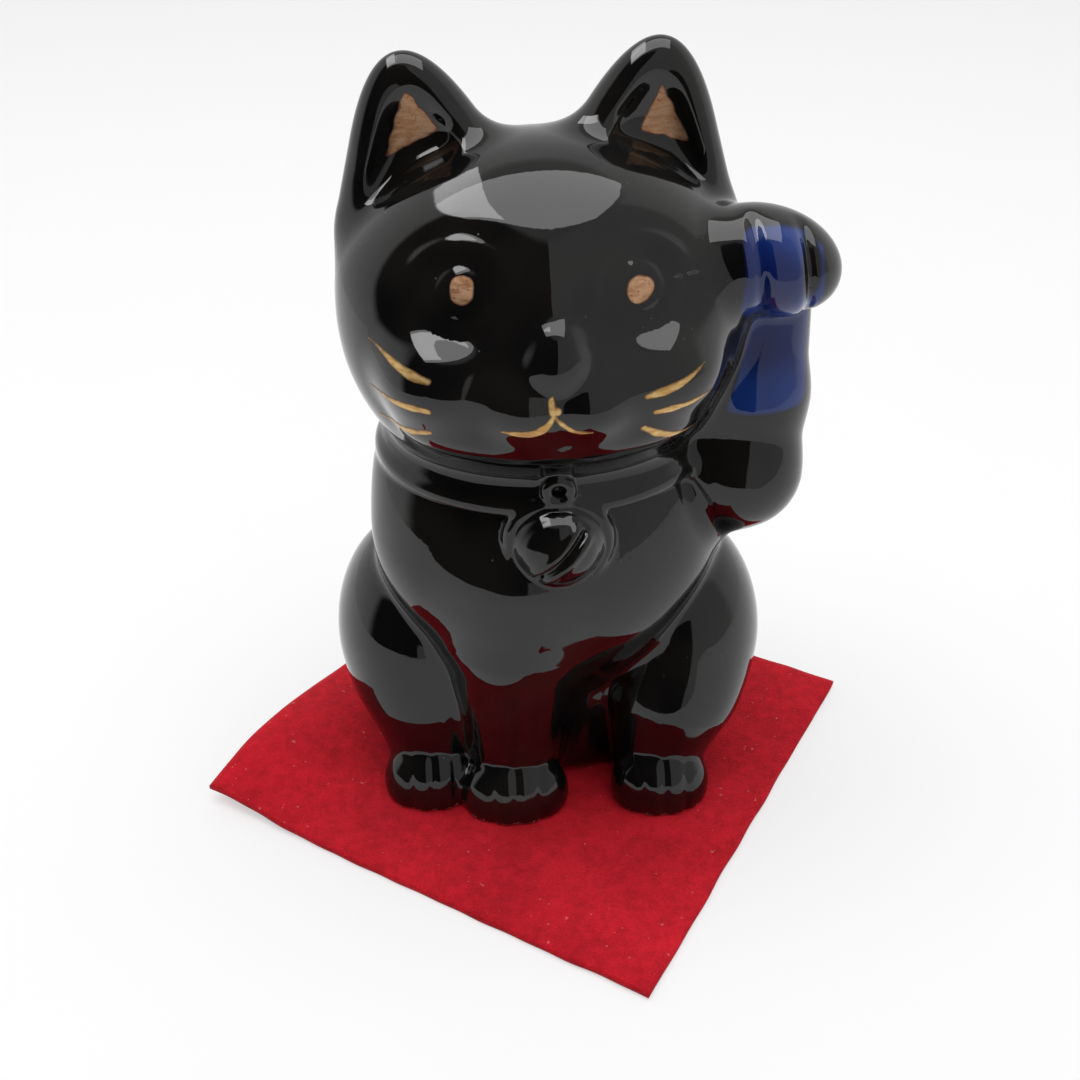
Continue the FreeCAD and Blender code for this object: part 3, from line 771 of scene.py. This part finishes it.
def glaze(name, thin, deep, wave, painted_over=None):
    """Black glaze, or a colour that fades out into the black at the paint's outline."""
    finish, w, shader, place = new_finish(name)
    surface = use_group(w, glaze_surface, Place=place, Wave=wave)
    dust = use_group(w, dust_and_smears, Place=place)
    colour = w.blend(w.remap(surface["Pool"], 0.35, 0.65), thin, deep)
    if painted_over:
        drift = w.times(w.math("SUBTRACT", surface["Pool"], 0.5), 0.25)
        soft = w.plus(attribute(w, "inside"), drift)
        colour = w.blend(w.remap(soft, 0.12, 0.75), painted_over, colour)
    colour = w.blend(w.times(dust["Dust"], 0.6), colour, DUST_GREY)
    w.feed(shader.inputs["Base Color"], colour)
    rough = w.math("MULTIPLY_ADD", dust["Smear"], 0.05, 0.035)
    w.feed(shader.inputs["Roughness"], w.math("MULTIPLY_ADD", dust["Dust"], 0.4, rough))
    add_bump(w, shader, surface["Height"], 0.00012)
    return finish


black_glaze = glaze("black_glaze", BLACK_THIN, BLACK_DEEP, 1.0)
blue_glaze = glaze("blue_glaze", BLUE_THIN, BLUE_DEEP, 1.0, BLACK_DEEP)

# %% Gold lustre, yellow for strokes and coppery where it is thick
def lustre(name, pale, warm, rim_colour, grit_colour, grit):
    finish, w, shader, place = new_finish(name, Metallic=0.55)
    brush = use_group(w, brushwork, Place=place, Inside=attribute(w, "inside"), Rim=0.35)
    colour = w.blend(w.remap(brush["Streak"], 0.35, 0.65), warm, pale)
    colour = w.blend(brush["Cover"], rim_colour, colour)
    colour = w.blend(w.times(brush["Grit"], grit), colour, grit_colour)
    w.feed(shader.inputs["Base Color"], colour)
    w.feed(shader.inputs["Roughness"],
           w.remap(brush["Streak"], 0.3, 0.7, 0.34, 0.50))
    add_bump(w, shader, brush["Streak"], 0.00005)
    return finish


yellow_gold = lustre("yellow_gold", (0.78, 0.54, 0.23, 1), (0.52, 0.29, 0.08, 1),
                     (0.16, 0.08, 0.03, 1), (0.20, 0.08, 0.03, 1), 0.25)
copper_gold = lustre("copper_gold", (0.60, 0.36, 0.21, 1), (0.42, 0.21, 0.10, 1),
                     (0.13, 0.05, 0.03, 1), (0.16, 0.02, 0.015, 1), 0.7)

# %% Bare clay under the foot
bare_clay, w, shader, place = new_finish("bare_clay", Roughness=0.85)
mottle = w.noise(place, 300.0, 4.0, 0.6)
speck = w.remap(w.noise(place, 1800.0, 1.0), 0.62, 0.70)
colour = w.blend(mottle, (0.50, 0.42, 0.34, 1), (0.62, 0.55, 0.46, 1))
w.feed(shader.inputs["Base Color"], w.blend(speck, colour, (0.24, 0.16, 0.11, 1)))
w.feed(shader.inputs["Roughness"], w.remap(mottle, 0.3, 0.7, 0.78, 0.92))
add_bump(w, shader, mottle, 0.0001)
print("finishes:", [finish.name for finish in bpy.data.materials])

# %% [markdown]
# ## Casting the six glazed pieces
#
# Each piece stands for one packed casting and rides on the figurine.  Only the flat of the foot
# and the inside of the vent stay bare, because clay that is glazed there would stick to the
# kiln shelf.  The grid is finest for the bell, which has the smallest relief.

# %% Cast them
FIGURINE = "figurine"
STEPS = {
    "body_casting": 0.61, "head_casting": 0.5, "raised_arm": 0.45,
    "collar": 0.45, "bell": 0.3, "tail": 0.5,
}
FOOT_HEIGHT = 0.7
BARE_ROOM_WIDTH, BARE_ROOM_TOP = 16, 35
GLAZED, BARE = 0, 1

for node, step in STEPS.items():
    points, quads, normals, on_skin = cast(node, step)
    middle = points[quads].mean(1)
    from_vent = np.hypot(middle[:, 0] - VENT_PLACE[0], middle[:, 1] - VENT_PLACE[1])
    in_room = (from_vent < BARE_ROOM_WIDTH) & (middle[:, 2] < BARE_ROOM_TOP)
    bare = (middle[:, 2] < FOOT_HEIGHT) | in_room | ~on_skin
    piece = new_piece("glazed_" + node, points, quads, normals,
                      (black_glaze, bare_clay), np.where(bare, BARE, GLAZED))
    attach(piece, FIGURINE)
    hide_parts(node)
    print(piece.name, len(points), "corners,", 2 * len(quads), "triangles")

# %% [markdown]
# ## Paint that follows the glaze
#
# Gold and blue are painted on the finished form, so each patch has to lie on the glaze like a
# film.  A flat grid is laid in front of the cat, cut to the outline of the brush mark, and
# pressed back along one direction until every corner meets the clay.  The film is then given
# a thickness that runs out at its edge.  An outline is written as a height: above zero is paint,
# and the value says how many millimetres it is to the edge.

# %% Press a flat grid onto the clay
PRESS_REACH, PRESS_ROUNDS = 32, 90
PRESS_SHARE, PRESS_STEP, PRESS_CLOSE = 0.75, 3, 0.004


def press_on(p, direction):
    """Slide points along one direction until they meet the clay, and say which of them do."""
    start, p = p, p.copy()
    moving = np.arange(len(p))
    for _ in range(PRESS_ROUNDS):
        gap = clay(p[moving])
        p[moving] += direction * np.minimum(gap * PRESS_SHARE, PRESS_STEP)[:, None]
        travelled = (p[moving] - start[moving]) @ direction
        moving = moving[(np.abs(gap) > PRESS_CLOSE) & (travelled < PRESS_REACH)]
        if len(moving) == 0:
            break
    met = np.ones(len(p), bool)
    met[moving] = False
    return p, met

# %% Cut a flat grid to an outline
OUTLINE_REACH = 0.02


def grid_faces(shape):
    """Quads between the corners of a flat grid."""
    number = np.arange(shape[0] * shape[1]).reshape(shape)
    quads = np.stack([number[:-1, :-1], number[1:, :-1], number[1:, 1:], number[:-1, 1:]], -1)
    return quads.reshape(-1, 4)


def film_grid(outline, size, spacing):
    """Corners and quads of a flat grid cut to an outline, with the outline's height."""
    across = np.arange(-size[0], size[0] + spacing, spacing)
    up = np.arange(-size[1], size[1] + spacing, spacing)
    u, v = np.meshgrid(across, up, indexing="ij")
    inside = outline(u, v)
    quads = grid_faces(u.shape)
    quads = quads[(inside.ravel()[quads] > 0).any(1)]
    used, quads = np.unique(quads, return_inverse=True)
    quads = quads.reshape(-1, 4)
    u, v, inside = u.ravel()[used], v.ravel()[used], inside.ravel()[used]
    for _ in range(3):
        slope_u = outline(u + OUTLINE_REACH, v) - outline(u - OUTLINE_REACH, v)
        slope_v = outline(u, v + OUTLINE_REACH) - outline(u, v - OUTLINE_REACH)
        slope_u, slope_v = slope_u / (2 * OUTLINE_REACH), slope_v / (2 * OUTLINE_REACH)
        move = np.where(inside < 0, -inside, 0) / np.maximum(slope_u ** 2 + slope_v ** 2, 0.25)
        u = u + np.clip(move * slope_u, -spacing / 2, spacing / 2)
        v = v + np.clip(move * slope_v, -spacing / 2, spacing / 2)
        inside = outline(u, v)
    return u, v, np.maximum(inside, 0), quads

# %% Close a sheet along its rim
def rim_edges(quads):
    """Edges that only one quad uses, in the direction that quad uses them."""
    edges = np.concatenate([quads[:, [i, (i + 1) % 4]] for i in range(4)])
    keys = np.sort(edges, 1)
    _, first, count = np.unique(keys, axis=0, return_index=True, return_counts=True)
    return edges[first[count == 1]]


def closed_sheet(top, count):
    """Faces of a sheet: the top, as many again below it, and a side along the rim."""
    rim = rim_edges(top)
    side = np.stack([rim[:, 1], rim[:, 0], rim[:, 0] + count, rim[:, 1] + count], 1)
    return np.concatenate([top, top[:, ::-1] + count, side]), rim

# %% Make the film
FILM_START, FILM_LIFT, FILM_EDGE, FILM_ROOT = 14, 0.02, 0.35, 0.06


def paint(name, nodes, marks, thickness, finish, spread=1.0):
    """One painted piece of one or more marks, each (origin, facing, outline, size, spacing)."""
    points, quads, normals, inside = [], [], [], []
    for origin, facing, outline, size, spacing in marks:
        facing, across, up = axes_facing(facing)
        u, v, height, top = film_grid(outline, size, spacing)
        start = np.array(origin) + u[:, None] * across + v[:, None] * up + FILM_START * facing
        on_clay, met = press_on(start, -facing)
        used, top = np.unique(top[met[top].all(1)], return_inverse=True)
        on_clay, height, top = on_clay[used], height[used], top.reshape(-1, 4)
        normal = unit(slopes(lambda p: clay(p)[None], on_clay)[1][0])
        lift = FILM_LIFT + thickness * ramp(height, 0, FILM_EDGE)
        faces, rim = closed_sheet(top, len(on_clay))
        flat = unit(np.cross(facing, on_clay[rim[:, 1]] - on_clay[rim[:, 0]]))
        shading = np.concatenate([normal[top], -normal[top[:, ::-1]],
                                  np.repeat(-flat[:, None], 4, 1)])
        quads.append(faces + sum(len(part) for part in points))
        points.append(np.concatenate([on_clay + normal * lift[:, None],
                                      on_clay - normal * FILM_ROOT]))
        normals.append(shading)
        inside.append(np.tile(height / spread, 2))
    piece = new_piece(name, np.concatenate(points), np.concatenate(quads),
                      np.concatenate(normals), (finish,))
    values = piece.data.attributes.new("inside", "FLOAT", "POINT")
    values.data.foreach_set("value", np.clip(np.concatenate(inside), 0, 1).astype(np.float32))
    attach(piece, FIGURINE)
    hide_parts(*nodes)
    print(name, len(piece.data.vertices), "corners")
    return piece

# %% Outlines of brush marks
def uneven(u, v, amount, size, seed):
    """A hand's unsteadiness: a few slow waves added together."""
    draw = np.random.default_rng(seed)
    total = 0
    for _ in range(4):
        turn, phase = draw.uniform(0, 2 * math.pi, 2)
        wave = draw.uniform(0.7, 1.6) / size
        total = total + np.sin(wave * (u * math.cos(turn) + v * math.sin(turn)) + phase)
    return amount * total / 2


def stroke(u, v, path, widths):
    """Height inside a stroke along a smooth path with a width at each of its points."""
    share = np.linspace(0, 1, 40)
    given = np.linspace(0, 1, len(path))
    order = len(path) - 1
    centre_u = np.polyval(np.polyfit(given, [p[0] for p in path], order), share)
    centre_v = np.polyval(np.polyfit(given, [p[1] for p in path], order), share)
    radius = np.interp(share, np.linspace(0, 1, len(widths)), widths) / 2
    best = np.full(u.shape, -9.0)
    for cu, cv, r in zip(centre_u, centre_v, radius):
        best = np.maximum(best, r - np.hypot(u - cu, v - cv))
    return best


def corners_inside(u, v, corners, soft):
    """Height inside a triangle whose corners are given anticlockwise."""
    best = None
    for (au, av), (bu, bv) in zip(corners, corners[1:] + corners[:1]):
        length = math.hypot(bu - au, bv - av)
        edge = ((bu - au) * (v - av) - (bv - av) * (u - au)) / length
        best = edge if best is None else melt(best, edge, soft)
    return best

# %% [markdown]
# ## Gold on the face and ears
#
# The pupils are dabs on the boss of each eye, the mouth is two strokes that hang from a short
# stem, and three strokes on each cheek thicken towards the nose, the way a loaded brush is
# lifted.  Each ear carries a ragged triangle deep in its hollow.  None of them is a mirror image
# of its partner, so each gets its own numbers.

# %% Pupils
def dab(radii, lean_by, seed):
    def outline(u, v):
        a, b = turned(u, v, lean_by)
        round_part = (1 - np.hypot(a / radii[0], b / radii[1])) * min(radii)
        return round_part + uneven(u, v, 0.13, 0.7, seed)
    return outline


for side, place, radii, lean_by, seed in (
        ("left", (13.7, -23.1, 112.5), (2.4, 2.2), 0.3, 4),
        ("right", (-14.5, -22.3, 113.3), (2.1, 2.4), 0.2, 9)):
    facing = EYE_OUT * (1 if side == "left" else -1, 1, 1)
    paint("pupil_" + side, ["eye_gold_" + side],
          [(place, facing, dab(radii, lean_by, seed), (3.4, 3.4), 0.15)],
          0.10, copper_gold)

# %% Mouth
def mouth_outline(u, v):
    stem = stroke(u, v, [(0.1, 3.5), (-0.15, 2.0), (0.2, 0.0)], [0.35, 1.1, 1.4, 0.8])
    drop = 0.75 - np.hypot(u - 0.75, v - 0.9)
    left = stroke(u, v, [(0.2, 0.2), (-2.0, -2.4), (-4.6, -2.9), (-8.1, -2.7)],
                  [0.8, 1.7, 1.6, 1.3, 0.5])
    right = stroke(u, v, [(0.4, 0.0), (2.3, -2.2), (4.2, -3.1), (6.4, -3.2)],
                   [0.6, 1.0, 0.9, 0.8, 0.35])
    both = np.maximum(np.maximum(stem, drop), np.maximum(left, right))
    return both + uneven(u, v, 0.05, 0.5, 21)


paint("mouth", ["mouth_gold"],
      [((-1.1, -34, 95.7), (0, -1, 0.1), mouth_outline, (9.2, 4.6), 0.17)],
      0.11, yellow_gold)

# %% Whiskers
WHISKERS = {
    "right": [((-29.8, -16.7, 103.1), (-25.5, -23.9, 101.6), (-20.6, -28.5, 100.5)),
              ((-30.6, -15.0, 94.1), (-25.8, -24.9, 95.4), (-20.6, -28.9, 95.6)),
              ((-29.3, -13.7, 87.3), (-25.1, -19.1, 88.4), (-20.0, -26.4, 90.7))],
    "left": [((24.2, -26.1, 100.7), (19.5, -29.4, 98.6), (14.4, -30.0, 97.0)),
             ((25.7, -25.1, 95.5), (20.8, -28.6, 94.6), (15.7, -29.3, 93.9)),
             ((22.3, -22.1, 87.9), (18.0, -25.7, 88.1), (13.8, -28.7, 90.8))],
}
WHISKER_WIDTHS = [0.25, 0.8, 1.25, 1.5, 1.0]


def whisker(path, origin, across, up, seed):
    flat = [((np.array(p) - origin) @ across, (np.array(p) - origin) @ up) for p in path]

    def outline(u, v):
        return stroke(u, v, flat, WHISKER_WIDTHS) + uneven(u, v, 0.05, 0.6, seed)
    return outline


for side, paths in WHISKERS.items():
    sign = 1 if side == "left" else -1
    facing, across, up = axes_facing((0.72 * sign, -0.69, -0.05))
    marks = []
    for seed, path in enumerate(paths):
        origin = np.array(path).mean(0)
        marks.append((origin, facing, whisker(path, origin, across, up, seed + 30),
                      (8.5, 4.5), 0.17))
    paint("whiskers_" + side, ["whiskers_gold_" + side], marks, 0.11, yellow_gold)

# %% Ear triangles
EAR_MARKS = {
    "right": ((-21.3, -1, 132), [(-0.4, 5.2), (-4.0, -5.0), (4.6, -1.1)]),
    "left": ((20.2, -1, 131.8), [(-0.4, 4.8), (-3.4, -2.1), (4.4, -4.3)]),
}
for number, (side, (origin, corners)) in enumerate(EAR_MARKS.items()):
    def outline(u, v, corners=corners, seed=50 + number):
        return 0.3 + corners_inside(u, v, corners, 0.9) + uneven(u, v, 0.13, 0.5, seed)
    paint("ear_mark_" + side, ["ear_gold_" + side],
          [(origin, (0, -1, 0), outline, (5.4, 6.6), 0.2)], 0.09, copper_gold)

# %% [markdown]
# ## Blue on the raised paw
#
# The blue is glaze over glaze, so it has no hard edge: it melts into the black in two
# millimetres.  One patch covers the front of the paw and leaves the outer toe black, with a
# drop-shaped gap in the groove beside it where the black shows; the other covers the forearm
# down to a level line.

# %% Blue patches
BLUE_FADE = 1.6


def box_inside(u, v, low_u, high_u, low_v, high_v, soft):
    """Height inside a rectangle with soft corners."""
    return melt(melt(u - low_u, high_u - u, soft), melt(v - low_v, high_v - v, soft), soft)


def paw_outline(u, v):
    patch = box_inside(u, v, -7.2, 7.5, -8.2, 9.4, 2.5)
    patch = np.minimum(patch, 9.0 - 0.05 * (u + 2) ** 2 - v)
    drop = np.hypot((u - 4.5) / 1.4, (v - 1.5) / 4.3) - 1
    return melt(patch + uneven(u, v, 0.3, 2.0, 71), drop * 1.6 + 0.3, 0.4)


def forearm_outline(u, v):
    slant = u + 7.5 - 0.24 * (v + 7.3)
    patch = melt(box_inside(u, v, -12, 8.0, -8.6, 9.8, 2.0), slant, 1.5)
    return patch + uneven(u, v, 0.25, 2.5, 77)


paint("blue_paw", ["paw_blue"],
      [((38.0, -14, 110.0), (0.05, -1, 0.05), paw_outline, (9.2, 11.0), 0.35)],
      0.05, blue_glaze, BLUE_FADE)
paint("blue_forearm", ["forearm_blue"],
      [((38.4, -13, 91.5), (-0.05, -1, 0), forearm_outline, (10.2, 10.5), 0.4)],
      0.05, blue_glaze, BLUE_FADE)

# %% [markdown]
# ## The square of felt
#
# Felt is a mat of matted wool without a weave.  The square is cut by hand, lies flat where the
# cat stands on it, and its left edge has taken a soft curl from being rolled up.  It is one
# closed sheet with a top, an underside and a cut edge, so it casts a true shadow where it lifts.

# %% Felt finish
FELT_DARK, FELT_LIGHT = (0.35, 0.006, 0.013, 1), (0.66, 0.014, 0.028, 1)
LINT_PINK = (0.75, 0.30, 0.30, 1)
felt_red, w, shader, place = new_finish(
    "felt_red", Roughness=0.95, Sheen_Weight=0.07, Sheen_Roughness=0.5, Specular_IOR_Level=0.08)
fibres = w.noise(place, 2600.0, 3.0, 0.7)
clumps = w.noise(place, 420.0, 3.0, 0.6)
patches = w.noise(place, 45.0, 2.0)
shade = w.plus(w.times(w.plus(fibres, clumps), 0.35), w.times(patches, 0.30))
colour = w.blend(w.remap(shade, 0.32, 0.68), FELT_DARK, FELT_LIGHT)
lint = w.remap(w.noise(place, 900.0, 1.0), 0.74, 0.78)
colour = w.blend(w.times(lint, 0.35), colour, LINT_PINK)
w.feed(shader.inputs["Base Color"], colour)
w.feed(shader.inputs["Roughness"], w.remap(clumps, 0.3, 0.7, 0.88, 1.0))
add_bump(w, shader, shade, 0.0006)

# %% How the sheet lies
FELT_LENGTH, FELT_WIDTH, FELT_TURN = 100.0, 96.0, -34.1
felt_low, felt_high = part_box("felt_mat")
FELT_THICKNESS = (felt_high.z - felt_low.z) / MM
FELT_SPACING = 0.8
CURL_HEIGHT, CURL_WIDTH, CURL_PLACE = 6.2, 17.0, 0.15
CURL_DRAW = 0.31
CUT_BAND = 0.1
CRUSH_DEPTH, CRUSH_WIDTH = 0.25, 0.6


def felt_lift(a, b):
    """How far the felt rises off the table, by its own length and width."""
    from_left = FELT_LENGTH / 2 + a
    along = (b + FELT_WIDTH / 2) / FELT_WIDTH
    reach = np.where(along < CURL_PLACE, 0.18, 0.28)
    curl = CURL_HEIGHT * np.exp(-((along - CURL_PLACE) / reach) ** 2)
    curl = curl * np.exp(-(from_left / CURL_WIDTH) ** 2)
    near_cat = np.exp(-((a - 4) ** 2 + (b - 4) ** 2) / 36 ** 2 * 2)
    waves = 0.35 * (1 + np.sin(a / 13 + b / 19 + 1.0) * np.sin(b / 15 - a / 31)) / 2
    return curl + waves * (1 - near_cat) * ramp(np.hypot(a, b), 30, 48)

# %% The sheet
count_a, count_b = int(FELT_LENGTH / FELT_SPACING) + 1, int(FELT_WIDTH / FELT_SPACING) + 1
a, b = np.meshgrid(np.linspace(-0.5, 0.5, count_a) * FELT_LENGTH,
                   np.linspace(-0.5, 0.5, count_b) * FELT_WIDTH, indexing="ij")
cut_noise = uneven(a, b, 0.12, 2.2, 90)
at_end, at_side = (np.abs(a) > FELT_LENGTH / 2 - CUT_BAND), (np.abs(b) > FELT_WIDTH / 2 - CUT_BAND)
a, b = a + cut_noise * at_end, b + cut_noise * at_side
lift = felt_lift(a, b)
a = a + CURL_DRAW * lift ** 2 / CURL_WIDTH
x, y = turned(a, b, -math.radians(FELT_TURN))
quads, _ = closed_sheet(grid_faces(a.shape), a.size)
edge = np.minimum(FELT_LENGTH / 2 - np.abs(a), FELT_WIDTH / 2 - np.abs(b))
crush = CRUSH_DEPTH * np.exp(-np.maximum(edge, 0) / CRUSH_WIDTH)
upper = np.stack([x, y, lift + FELT_THICKNESS - crush], -1).reshape(-1, 3)
lower = np.stack([x, y, lift + crush * 0.5], -1).reshape(-1, 3)
centre = np.array([(felt_low.x + felt_high.x) / 2, (felt_low.y + felt_high.y) / 2, felt_low.z])
felt = new_piece("felt_square", np.concatenate([upper, lower]) + (centre - stand) / MM, quads,
                 None, (felt_red,))
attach(felt, "mat")
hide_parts("felt_mat")
print("felt square", len(felt.data.vertices), "corners, lifts", round(float(lift.max()), 2), "mm")

# %% [markdown]
# ## Table, light and camera
#
# The cat stands on a wide pale table under one large soft panel, with a brighter narrow one on
# its right that only the glaze sees.  A black mirror shows whatever surrounds it, so the
# surroundings matter as much as the lamps: a pale sweep behind, an open dark room to the front
# left and a grey wall to the front right.  They are painted on the world by direction.  The table
# adds a little of its own white where the camera or the glaze sees it, so it stays pale, and it
# keeps the shadow.

# %% Table
TABLE_SHADE, TABLE_PALE = (0.86, 0.86, 0.87, 1), (0.88, 0.88, 0.885, 1)
TABLE_LEFT, TABLE_RIGHT, TABLE_FRONT, TABLE_BACK = -0.34, 1.2, -0.36, 1.6
TABLE_BELOW, TABLE_OWN_WHITE = 0.00005, 0.5
mesh = bpy.data.meshes.new("table")
mesh.from_pydata([(TABLE_LEFT, TABLE_FRONT, 0), (TABLE_RIGHT, TABLE_FRONT, 0),
                  (TABLE_RIGHT, TABLE_BACK, 0), (TABLE_LEFT, TABLE_BACK, 0)], [], [(0, 1, 2, 3)])
table = bpy.data.objects.new("table", mesh)
table.location.z = float(cad_low[2]) - TABLE_BELOW
bpy.context.scene.collection.objects.link(table)
pale, w, shader, place = new_finish("table_pale", Roughness=0.7, Specular_IOR_Level=0.2)
grain = w.noise(place, 30.0, 3.0)
w.feed(shader.inputs["Base Color"], w.blend(grain, TABLE_SHADE, TABLE_PALE))
seen = w.node("ShaderNodeLightPath", output=0)
mirrored_in = w.node("ShaderNodeLightPath", output=3)
own_white = w.node("ShaderNodeEmission", Color=(1, 1, 1, 1), Strength=1.0)
share = w.times(w.math("MAXIMUM", seen, mirrored_in), TABLE_OWN_WHITE)
mixed = w.node("ShaderNodeMixShader", in_0=share, in_1=shader.outputs[0], in_2=own_white)
w.feed(pale.node_tree.nodes["Material Output"].inputs["Surface"], mixed)
mesh.materials.append(pale)
print("table", TABLE_RIGHT - TABLE_LEFT, "by", TABLE_BACK - TABLE_FRONT, "m")

# %% World
DARK_ROOM, GREY_WALL, PALE_SWEEP, CEILING = 0.02, 0.55, 0.85, 0.45
world = bpy.data.worlds.new("studio")
bpy.context.scene.world = world
world.use_nodes = True
w = Wires(world.node_tree)
direction = w.node("ShaderNodeTexCoord", output=0)
split = w.tree.nodes.new("ShaderNodeSeparateXYZ")
w.feed(split.inputs[0], direction)
dx, dy, dz = split.outputs
azimuth = w.math("ARCTAN2", dx, w.times(dy, -1.0))
wall = w.remap(azimuth, 0.02, 0.06, DARK_ROOM, GREY_WALL)
sideways = w.math("ABSOLUTE", azimuth)
around = w.remap(sideways, 1.35, 1.6)
above = w.remap(dz, 0.80, 0.88)
level = w.fade(above, w.fade(around, wall, PALE_SWEEP), CEILING)
seen = w.node("ShaderNodeLightPath", output=0)
strength = w.math("MAXIMUM", level, seen)
background = w.tree.nodes["Background"]
background.inputs["Color"].default_value = (1.0, 1.0, 1.0, 1)
w.feed(background.inputs["Strength"], strength)
print("world levels:", DARK_ROOM, GREY_WALL, PALE_SWEEP, CEILING)

# %% Lamps
PANEL_PLACE, PANEL_SIZE, PANEL_LIGHT = (-0.10, -0.04, 1.10), (1.42, 0.82), 2.8
SIDE_PLACE, SIDE_SIZE, SIDE_LIGHT = (-0.58, 0.195, 1.11), (0.44, 1.11), 4.2


def overhead(name, place, size, brightness):
    """A flat panel that faces down; its power follows from its brightness and area."""
    light = bpy.data.lights.new(name, "AREA")
    light.shape = "RECTANGLE"
    light.size, light.size_y = size
    light.energy = brightness * math.pi * size[0] * size[1]
    panel = bpy.data.objects.new(name, light)
    panel.location = place
    bpy.context.scene.collection.objects.link(panel)
    return panel


main_panel = overhead("panel", PANEL_PLACE, PANEL_SIZE, PANEL_LIGHT)
side_panel = overhead("side_panel", SIDE_PLACE, SIDE_SIZE, SIDE_LIGHT)
side_panel.visible_diffuse = False
print("panels:", main_panel.name, side_panel.name)

# %% Camera
SENSOR_WIDTH, FOCAL_LENGTH = 36.0, 44.3333
CAMERA_PLACE = np.array([-16.15, -215.2, 199.1])
CAMERA_TURN, CAMERA_DOWN, CAMERA_ROLL = math.radians(4.0), math.radians(34.73), math.radians(0.8)
ahead = np.array([math.sin(CAMERA_TURN) * math.cos(CAMERA_DOWN),
                  math.cos(CAMERA_TURN) * math.cos(CAMERA_DOWN), -math.sin(CAMERA_DOWN)])
right = unit(np.cross(ahead, [0, 0, 1]))
below = np.cross(ahead, right)
rolled_right = math.cos(CAMERA_ROLL) * right + math.sin(CAMERA_ROLL) * below
rolled_below = math.cos(CAMERA_ROLL) * below - math.sin(CAMERA_ROLL) * right
camera_data = bpy.data.cameras.new("camera")
camera_data.sensor_width = SENSOR_WIDTH
camera_data.lens = FOCAL_LENGTH
camera_data.clip_start = 0.01
camera = bpy.data.objects.new("camera", camera_data)
matrix = np.eye(4)
matrix[:3, :3] = np.stack([rolled_right, -rolled_below, -ahead], 1)
matrix[:3, 3] = to_world(CAMERA_PLACE)
camera.matrix_world = Matrix(matrix.tolist())
bpy.context.scene.collection.objects.link(camera)
bpy.context.scene.camera = camera
print("camera at", np.round(matrix[:3, 3], 4), "m, lens", FOCAL_LENGTH, "mm")

# %% Colour handling
bpy.context.scene.view_settings.view_transform = "Standard"
